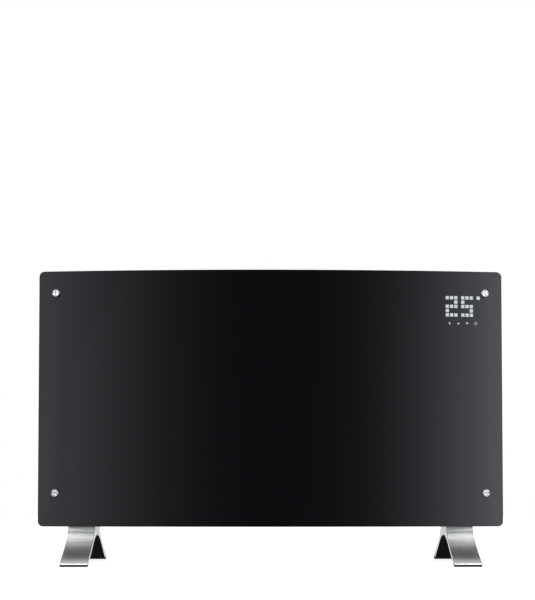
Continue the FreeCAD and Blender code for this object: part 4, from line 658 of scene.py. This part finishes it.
def prism(work, corners, low, high):
    bottom = [work.verts.new((x, y, low)) for x, y in corners]
    top = [work.verts.new((x, y, high)) for x, y in corners]
    work.faces.new(list(reversed(bottom)))
    work.faces.new(top)
    for index in range(len(corners)):
        after = (index + 1) % len(corners)
        work.faces.new([bottom[index], bottom[after], top[after], top[index]])


def rectangle(width, height):
    x, y = width / 2, height / 2
    return [(-x, -y), (x, -y), (x, y), (-x, y)]


def welded(node):
    # a copy of a CAD node's mesh with its triangles joined
    work = bmesh.new()
    work.from_mesh(nodes[node].data)
    bmesh.ops.remove_doubles(work, verts=work.verts, dist=cadWeld)
    return work


def islands(node):
    # boxes of the separate solids of a CAD node
    work = welded(node)
    left = set(work.verts)
    boxes = []
    while left:
        grown = [left.pop()]
        for vert in grown:
            near = {edge.other_vert(vert) for edge in vert.link_edges} & left
            left -= near
            grown.extend(near)
        points = [vert.co.copy() for vert in grown]
        low = Vector([min(point[axis] for point in points) for axis in range(3)])
        high = Vector([max(point[axis] for point in points) for axis in range(3)])
        boxes.append((low, high))
    work.free()
    return sorted(boxes, key=lambda box: tuple(round(part, hundredthMm) for part in box[0]))


def repeatTree():
    # sets a master piece on every point, turned by the point's own attribute
    group = bpy.data.node_groups.new("repeatOnPoints", "GeometryNodeTree")
    kinds = {"Points": "Geometry", "Master": "Object", "Size": "Float", "Finish": "Material"}
    for name, kind in kinds.items():
        group.interface.new_socket(name, in_out="INPUT", socket_type=f"NodeSocket{kind}")
    group.interface.new_socket("Pieces", in_out="OUTPUT", socket_type="NodeSocketGeometry")
    tree = Tree(group)
    source = tree.add("NodeGroupInput").socket.node
    inputs = {socket.name: Wire(tree, socket) for socket in source.outputs}
    master = tree.add("GeometryNodeObjectInfo", None, {"Object": inputs["Master"]}, "Geometry")
    turn = tree.add("GeometryNodeInputNamedAttribute", {"data_type": "FLOAT_VECTOR"},
                    {"Name": "turn"}, "Attribute")
    rotation = tree.add("FunctionNodeEulerToRotation", None, {0: turn})
    placed = tree.add("GeometryNodeInstanceOnPoints", None,
                      {"Points": inputs["Points"], "Instance": master, "Rotation": rotation,
                       "Scale": inputs["Size"]})
    whole = tree.add("GeometryNodeRealizeInstances", None, {"Geometry": placed})
    dressed = tree.add("GeometryNodeSetMaterial", None, {"Geometry": whole, "Material": inputs["Finish"]})
    tree.add("NodeGroupOutput", None, {"Pieces": dressed})
    return group


repeater = repeatTree()


def repeated(name, master, places, finish, size=1.0):
    # places holds a point and a rotation for each copy
    mesh = bpy.data.meshes.new(name)
    mesh.from_pydata([tuple(point) for point, turn in places], [], [])
    turns = mesh.attributes.new("turn", "FLOAT_VECTOR", "POINT")
    for entry, (point, turn) in zip(turns.data, places):
        entry.vector = turn.to_euler()
    piece = newObject(name, mesh)
    modifier = piece.modifiers.new("repeat", "NODES")
    modifier.node_group = repeater
    values = {"Master": master, "Size": size, "Finish": finish}
    for socket in repeater.interface.items_tree:
        if socket.in_out == "INPUT" and socket.name in values:
            modifier[socket.identifier] = values[socket.name]
    piece.data = baked(piece)
    piece.data.name = name
    bpy.data.meshes.remove(mesh)
    bpy.data.objects.remove(master)
    return piece


def settle(piece, body, slot, *replaced):
    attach(piece, body)
    if replaced:
        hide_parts(*replaced)
    print("piece:", piece.name, len(piece.data.polygons), "faces on", body)


# Bow of the glass, and how a piece stands on it

bow = {"radius": 4010 * mm, "front": -50 * mm}
bowCentre = Vector((0, bow["front"] + bow["radius"], 0))


def onGlass(behind, proud):
    # the front face straight ahead of a point behind it, and the turn that stands a piece square to it
    angle = math.atan2(behind.x, bowCentre.y - behind.y)
    reach = bow["radius"] + proud
    point = Vector((math.sin(angle) * reach, bowCentre.y - math.cos(angle) * reach, behind.z))
    return point, Matrix.Rotation(angle, 3, "Z") @ Matrix.Rotation(quarterTurn, 3, "X")


# Corner caps, turned from bar with fine concentric rings on the slightly dished face

capBoxes = islands("glass_caps")
cap = {
    "radius": (capBoxes[0][1].z - capBoxes[0][0].z) / 2,
    "height": 4.5 * mm,
    "seat": 0.85 * mm,        # underside of a cap ahead of the glass
    "chamfer": 0.8 * mm,
    "dish": 0.08 * mm,
    "rings": 12,
    "ringCuts": 4,            # points of the profile in each ring
    "ringDepth": 0.060 * mm,
    "stud": 3 * mm,
    "studLength": 11 * mm,
    "steps": 72,
    "sharp": 38,              # edges sharper than this stay crisp, in degrees
}


def capProfile():
    faceRadius = cap["radius"] - 2 * cap["chamfer"]
    cuts = cap["ringCuts"] * cap["rings"]
    profile = [(0.0, -cap["studLength"]), (cap["stud"], -cap["studLength"]), (cap["stud"], 0.0),
               (cap["radius"], 0.0), (cap["radius"], cap["height"] - cap["chamfer"]),
               (cap["radius"] - cap["chamfer"], cap["height"])]
    for index in range(cuts, 0, -1):
        share = index / cuts
        groove = cap["ringDepth"] * (1 - math.cos(2 * math.pi * index / cap["ringCuts"])) / 2
        profile.append((faceRadius * share, cap["height"] - cap["dish"] * (1 - share) - groove))
    profile.append((0.0, cap["height"] - cap["dish"]))
    return profile


capMesh = meshOf("capMaster", lambda work: lathe(work, capProfile(), cap["steps"]))
capMaster = newObject("capMaster", smooth(capMesh, cap["sharp"]))
capPlaces = [onGlass((low + high) / 2, cap["seat"]) for low, high in capBoxes]
cornerCaps = repeated("cornerCaps", capMaster, capPlaces, finishes["spunMetal"])
settle(cornerCaps, "heater", "cap_metal", "glass_caps")


# Lit figures and touch marks, just proud of the glass

display = {
    "tile": 5.7 * mm,
    "corner": 0.7 * mm,
    "proud": 0.06 * mm,
    "thick": 0.30 * mm,        # reaches back into the glass
    "glow": 0.62,
    "columns": 3,              # tiles across a figure
    # rows from the top, with 1 for a lit tile
    "figures": [
        ("111", "001", "111", "100", "111"),
        ("111", "100", "111", "001", "111"),
    ],
}


def roundedOutline(width, height, corner, steps=4):
    points = []
    for quarter in range(4):
        turn = quarterTurn * quarter
        signX = 1 if quarter in (0, 3) else -1
        signY = 1 if quarter in (0, 1) else -1
        for step in range(steps + 1):
            angle = turn + quarterTurn * step / steps
            points.append((signX * (width / 2 - corner) + corner * math.cos(angle),
                           signY * (height / 2 - corner) + corner * math.sin(angle)))
    return points


def tileMaster(name, corners):
    # a flat tile that faces -Y once it is turned onto the glass
    return newObject(name, meshOf(name, lambda work: prism(work, corners, -display["thick"], 0.0)))


def litPlaces():
    # sorts the light tiles behind the glass into columns and rows, and takes the ones that are lit
    centres = [(low + high) / 2 for low, high in islands("light_tiles")]
    columns = sorted({round(centre.x, tenthMm) for centre in centres})
    rows = sorted({round(centre.z, tenthMm) for centre in centres}, reverse=True)
    figures = display["figures"]
    lit = []
    for centre in centres:
        figure, column = divmod(columns.index(round(centre.x, tenthMm)), display["columns"])
        row = rows.index(round(centre.z, tenthMm))
        # the tiles after the last figure are the degree mark, always lit
        if figure >= len(figures) or figures[figure][row][column] == "1":
            lit.append(onGlass(centre, display["proud"]))
    return lit


figureTile = tileMaster("figureTile", roundedOutline(display["tile"], display["tile"], display["corner"]))
litFigures = repeated("litFigures", figureTile, litPlaces(), litTile("litFigure", display["glow"]))
settle(litFigures, "heater", "tile_light")

touch = {
    "bar": (2.6 * mm, 4.4 * mm, 1.1 * mm),     # width, height and corner of the first mark
    "arrow": 4.6 * mm,
    "arrowEnds": (-0.31, 0.36),                # base and tip, as shares of its width
    "ring": (3.1 * mm, 1.0 * mm),              # radii of the last mark
    "glow": (0.42, 0.66, 0.74, 0.18),
    "steps": 32,
}


def arrowCorners(direction):
    base, tip = [share * touch["arrow"] for share in touch["arrowEnds"]]
    half = touch["arrow"] / 2
    corners = [(-half, base * direction), (half, base * direction), (0.0, tip * direction)]
    return corners if direction > 0 else corners[::-1]


def ringMaster(name):
    outer, inner = touch["ring"]
    back = -display["thick"]
    section = [(outer, back), (outer, 0.0), (inner, 0.0), (inner, back), (outer, back)]
    return newObject(name, meshOf(name, lambda work: lathe(work, section, touch["steps"])))


def touchMarks():
    masters = {
        "nightMark": tileMaster("nightMaster", roundedOutline(*touch["bar"])),
        "warmerMark": tileMaster("warmerMaster", arrowCorners(1)),
        "coolerMark": tileMaster("coolerMaster", arrowCorners(-1)),
        "powerMark": ringMaster("powerMaster"),
    }
    pads = islands("touch_pads")
    for (name, master), glow, (low, high) in zip(masters.items(), touch["glow"], pads):
        place = onGlass((low + high) / 2, display["proud"])
        mark = repeated(name, master, [place], litTile(f"{name}Light", glow))
        settle(mark, "heater", "tile_light")


touchMarks()


# Screws with driven heads

screw = {
    "shank": 2.0 * mm,
    "length": 7.0 * mm,
    "head": 3.6 * mm,
    "headHeight": 2.2 * mm,
    "flat": 0.45,              # flat top of the head, as a share of its radius
    "rim": 0.35,               # straight side of the head, as a share of its height
    "domeSteps": 6,
    "cross": (4.4 * mm, 0.95 * mm, 1.3 * mm),   # length, width and depth of the recess
    "steps": 40,
    "sharp": 30,               # edges sharper than this stay crisp, in degrees
}
footScrew = {
    "shank": 2.5 * mm,
    "head": 4.3 * mm,
    "headHeight": 5.0 * mm,
    "chamfer": 0.5 * mm,
    "socket": 4.0 * mm,
    "depth": 2.6 * mm,
    "steps": 40,
    "sharp": 30,
}


def cutRecess(name, look, profile, tools):
    # turns a blank and takes the driver recess out of it
    piece = newObject(name, meshOf(name, lambda work: lathe(work, profile, look["steps"])))
    cutters = [newObject(f"{name}Tool{index}", meshOf("tool", tool)) for index, tool in enumerate(tools)]
    for index, cutter in enumerate(cutters):
        recess = piece.modifiers.new(f"recess{index}", "BOOLEAN")
        recess.object = cutter
        recess.solver = "EXACT"
    mesh = baked(piece)
    for cutter in cutters:
        bpy.data.objects.remove(cutter)
    piece.data = smooth(mesh, look["sharp"])
    return piece


def panHeadMaster():
    shank, head, top = screw["shank"], screw["head"], screw["headHeight"]
    profile = [(0.0, -screw["length"]), (shank, -screw["length"]), (shank, 0.0), (head, 0.0)]
    for step in range(screw["domeSteps"] + 1):
        angle = quarterTurn * step / screw["domeSteps"]
        profile.append((head * blend(1.0, math.cos(angle), screw["flat"]),
                        top * blend(1.0, math.sin(angle), screw["rim"])))
    profile.append((0.0, top))
    length, width, depth = screw["cross"]
    arms = [rectangle(length, width), rectangle(width, length)]
    tools = [lambda work, arm=arm: prism(work, arm, top - depth, top + depth) for arm in arms]
    return cutRecess("panHead", screw, profile, tools)


def socketMaster(length):
    shank, head, top = footScrew["shank"], footScrew["head"], footScrew["headHeight"]
    edge, depth = footScrew["chamfer"], footScrew["depth"]
    profile = [(0.0, -length), (shank, -length), (shank, 0.0), (head, 0.0), (head, top - edge),
               (head - edge, top), (0.0, top)]
    reach = footScrew["socket"] / math.sqrt(3)
    turns = [math.radians(60 * side) for side in range(6)]
    hexagon = [(reach * math.cos(turn), reach * math.sin(turn)) for turn in turns]
    tools = [lambda work: prism(work, hexagon, top - depth, top + depth)]
    return cutRecess("socketHead", footScrew, profile, tools)


def screwPlaces(node, axis, headHeight):
    # the seat of each head, with the head standing out along the axis
    outward = Vector(axis)
    turn = outward.to_track_quat("Z", "Y").to_matrix()
    places = []
    for low, high in islands(node):
        far = Vector([high[side] if outward[side] > 0 else low[side] for side in range(3)])
        middle = (low + high) / 2
        seat = middle + outward * ((far - middle).dot(outward) - headHeight)
        places.append((seat, turn))
    return places


def makeScrews():
    casingMiddle = (cadBox[0].z + cadBox[1].z) / 2
    upward = screwPlaces("housing_screws", (0, 0, 1), screw["headHeight"])
    downward = screwPlaces("housing_screws", (0, 0, -1), screw["headHeight"])
    housingPlaces = [place for place in upward if place[0].z > casingMiddle]
    housingPlaces += [place for place in downward if place[0].z < casingMiddle]
    housing = repeated("housingScrews", panHeadMaster(), housingPlaces, finishes["blackZinc"])
    settle(housing, "heater", "screw_steel", "housing_screws")
    endPlaces = screwPlaces("end_cap_screws", (0, 1, 0), screw["headHeight"])
    ends = repeated("endCapScrews", panHeadMaster(), endPlaces, finishes["blackZinc"])
    settle(ends, "heater", "screw_steel", "end_cap_screws")
    low, high = islands("foot_screws")[0]
    shankLength = high.z - low.z - footScrew["headHeight"]
    footPlaces = screwPlaces("foot_screws", (0, 0, -1), footScrew["headHeight"])
    feet = repeated("footScrews", socketMaster(shankLength), footPlaces, finishes["platedScrew"])
    settle(feet, "heater", "plated_screw", "foot_screws")


makeScrews()


# Main switch: moulded edges on the bezel and the rocker, and the marks on the rocker's two faces

switch = {
    "bezelEdge": 0.5 * mm,
    "rockerEdge": 0.35 * mm,
    "edgeSteps": 3,
    "edgeAngle": 40,           # edges sharper than this are rounded, in degrees
    "flatAngle": 1,            # and faces flatter than this are joined first
    "tilt": 8.0,               # rest position, in degrees
    "middle": 3.0 * mm,        # outer face at the middle and at the ends, out from the pivot
    "tip": 4.6 * mm,
    "half": 7.6 * mm,
    "markAt": 4.3 * mm,
    "bar": (0.75 * mm, 3.2 * mm),
    "ring": (1.65 * mm, 1.0 * mm),
    "markThick": 0.06 * mm,
    "steps": 40,
}


def softEdged(name, node, width, finish):
    # the CAD solid with its sharp edges rounded
    work = welded(node)
    flat = math.radians(switch["flatAngle"])
    bmesh.ops.dissolve_limit(work, angle_limit=flat, verts=work.verts, edges=work.edges)
    mesh = bpy.data.meshes.new(name)
    work.to_mesh(mesh)
    work.free()
    piece = newObject(name, smooth(mesh))
    rounding = piece.modifiers.new("edges", "BEVEL")
    rounding.width = width
    rounding.segments = switch["edgeSteps"]
    rounding.limit_method = "ANGLE"
    rounding.angle_limit = math.radians(switch["edgeAngle"])
    rounding.harden_normals = True
    piece.data = baked(piece)
    piece.data.materials.append(finish)
    return piece


def rockerMark(name, build, side):
    # drawn flat on XY, then set on the upper or lower face of the level rocker and tipped with it
    pivot = Vector(joints["switch_tip"]["pos_m"])
    slope = math.atan2(switch["tip"] - switch["middle"], switch["half"])
    out = switch["middle"] + (switch["tip"] - switch["middle"]) * switch["markAt"] / switch["half"]
    onFace = Matrix.Translation((out, 0, side * switch["markAt"])) @ Matrix.Rotation(side * slope, 4, "Y")
    upright = Matrix(((0, 0, 1, 0), (1, 0, 0, 0), (0, 1, 0, 0), (0, 0, 0, 1)))
    tip = Matrix.Translation(pivot) @ Matrix.Rotation(math.radians(switch["tilt"]), 4, "Y")
    mesh = meshOf(name, build)
    mesh.transform(tip @ onFace @ upright)
    mesh.materials.append(finishes["markWhite"])
    settle(newObject(name, mesh), "rocker", "switch_plastic")


def makeSwitch():
    bezel = softEdged("switchBezel", "switch_bezel", switch["bezelEdge"], finishes["switchPlastic"])
    settle(bezel, "heater", "switch_plastic", "switch_bezel")
    rocker = softEdged("switchRocker", "switch_rocker", switch["rockerEdge"], finishes["switchPlastic"])
    settle(rocker, "rocker", "switch_plastic", "switch_rocker")
    outer, inner = switch["ring"]
    thick = switch["markThick"]
    bar = rectangle(*switch["bar"])
    ring = [(outer, -thick), (outer, thick), (inner, thick), (inner, -thick), (outer, -thick)]
    rockerMark("onMark", lambda work: prism(work, bar, -thick, thick), -1)
    rockerMark("offMark", lambda work: lathe(work, ring, switch["steps"]), 1)


makeSwitch()


# Stage: camera, pale floor and soft light

camera = {
    "place": (-15.1 * mm, -1803.8 * mm, 128.2 * mm),
    "yaw": -0.0054,            # radians
    "pitch": 0.0327,
    "lens": 61.86,
    "sensor": 36.0,
    "shift": 0.2589,
    "clip": (0.01, 50),
}
floor = {
    "front": -0.63,
    "back": 3.0,
    "side": 3.0,
    "albedo": (0.25, 0.25, 0.25),
    "shares": (0.99, 1.0),
    "patch": 0.4,
    "rough": 0.8,
    "gloss": 0.1,
    "lift": 0.84,
}
room = {
    "tint": (0.95, 0.985, 1.06, 1.0),  # cool light in front
    "plain": (1.0, 1.0, 1.0, 1.0),
    "sideReach": 0.407,                # sine of the widest angle that the glass mirrors
    "left": (1.12, 2.3),               # glow at that angle, and how steeply it rises
    "right": (2.0, 3.5),
    "glowTop": (0.22, 0.30),           # heights where that glow ends
    "glowFront": (-0.75, -0.85),       # it lies this far to the front
    "dark": 0.02,
    "sides": 0.75,
    "span": 180,                       # degrees from the front horizon over the top to the back
    # long strip lights over the heater: degrees up from the front, and glow
    "strips": [(14, 0.35), (40, 0.45), (44, 1.0), (46.5, 12), (52, 12), (55, 8.5), (57.5, 3.2),
               (60, 0.8), (63, 0.22), (67, 0.12), (70, 0.5), (73, 0.5), (77, 0.42), (84, 0.6),
               (92, 0.92), (105, 0.75), (130, 0.75), (165, 0.6), (180, 0.6)],
    "stripHalf": (0.50, 0.62),         # sideways reach of the strips
    # the strip overhead is brighter towards its two ends
    "ends": {"from": (71, 75), "to": (83, 90), "middle": 0.008, "reach": (0.195, 0.222), "glow": 2.0},
    # softboxes that the caps catch: degrees to the right, lower and upper end in degrees, and glow
    "boxes": [(0, 17, 38, 9.0), (-43, 17, 38, 9.0), (43, 17, 38, 9.0),
              (-68, -4, 18, 2.5), (68, -4, 18, 2.5)],
    "boxHalf": (6, 8),                 # half width in degrees, where the edge starts to fade and ends
    "backdrop": 1.0,
}


def makeCamera():
    data = bpy.data.cameras.new("camera")
    data.lens = camera["lens"]
    data.sensor_width = camera["sensor"]
    data.shift_y = camera["shift"]
    data.clip_start, data.clip_end = camera["clip"]
    viewer = newObject("camera", data)
    viewer.location = camera["place"]
    viewer.rotation_euler = (quarterTurn + camera["pitch"], 0, camera["yaw"])
    scene.camera = viewer


def makeFloor():
    finish = Finish("paleFloor")
    tone = finish.noise(floor["patch"])
    plain = finish.surface(
        colour=finish.toned(tone, floor["albedo"], floor["shares"]),
        rough=floor["rough"],
        specular=floor["gloss"],
        glowColour=room["plain"],
        glow=floor["lift"])
    corners = [(-floor["side"], floor["front"], 0), (floor["side"], floor["front"], 0),
               (floor["side"], floor["back"], 0), (-floor["side"], floor["back"], 0)]
    mesh = bpy.data.meshes.new("paleFloor")
    mesh.from_pydata(corners, [], [(0, 1, 2, 3)])
    mesh.materials.append(finish.close(plain))
    newObject("paleFloor", mesh)


def stripLights(tree, x, y, z):
    # one ramp from the front horizon over the top to the back horizon
    brightest = max(glow for degrees, glow in room["strips"])
    stops = [(degrees / room["span"], (glow / brightest,) * 3) for degrees, glow in room["strips"]]
    turn = z.angleFrom(0.0 - y) / math.pi
    glow = brightest * tree.add("ShaderNodeValToRGB", {"stops": stops}, {"Fac": turn})
    ends = room["ends"]
    rise = [degrees / room["span"] for degrees in ends["from"]]
    fall = [degrees / room["span"] for degrees in ends["to"]]
    overhead = tree.ease(turn, *rise) * tree.ease(turn, *fall, 1.0, 0.0)
    outer = tree.ease((x - ends["middle"]).size(), *ends["reach"], 0.0, ends["glow"])
    inside = tree.ease(x.size(), *room["stripHalf"], 1.0, 0.0)
    return (glow + outer * overhead) * inside + room["sides"] * (1 - inside)


def softboxes(tree, x, y, z):
    inner, outer = [math.radians(half) for half in room["boxHalf"]]
    fade = outer - inner
    around = x.angleFrom(0.0 - y)
    glow = 0.0
    for azimuth, low, high, strength in room["boxes"]:
        low, high = math.radians(low), math.radians(high)
        across = tree.ease((around - math.radians(azimuth)).size(), inner, outer, strength, 0.0)
        above = tree.ease(z, math.sin(low - fade), math.sin(low))
        below = tree.ease(z, math.sin(high), math.sin(high + fade), 1.0, 0.0)
        glow = glow + across * above * below
    return glow


def makeRoom():
    # a bright room with a dark gap behind the camera, which the black glass mirrors
    world = bpy.data.worlds.new("studio")
    world.use_nodes = True
    world.node_tree.nodes.clear()
    tree = Tree(world.node_tree)
    direction = tree.add("ShaderNodeTexCoord", output="Generated")
    x, y, z = tree.axes(direction)
    across = x / room["sideReach"]
    left = (0.0 - across).most(0.0).least(1.0)
    right = across.most(0.0).least(1.0)
    leftGlow, leftRise = room["left"]
    rightGlow, rightRise = room["right"]
    ahead = room["dark"] + leftGlow * left ** leftRise + rightGlow * right ** rightRise
    front = tree.ease(z.size(), *room["glowTop"], 1.0, 0.0) * tree.ease(y, *room["glowFront"])
    glow = ahead * front + stripLights(tree, x, y, z) * (1 - front) + softboxes(tree, x, y, z)
    colour = tree.mix(front, room["plain"], room["tint"])
    seen = tree.add("ShaderNodeLightPath", output="Is Camera Ray")
    light = glow * (1 - seen) + room["backdrop"] * seen
    shown = tree.mix(seen, colour, room["plain"])
    background = tree.add("ShaderNodeBackground", None, {"Color": shown, "Strength": light})
    tree.add("ShaderNodeOutputWorld", None, {"Surface": background})
    scene.world = world


makeCamera()
makeFloor()
makeRoom()
scene.view_settings.view_transform = "Standard"
print("stage ready")
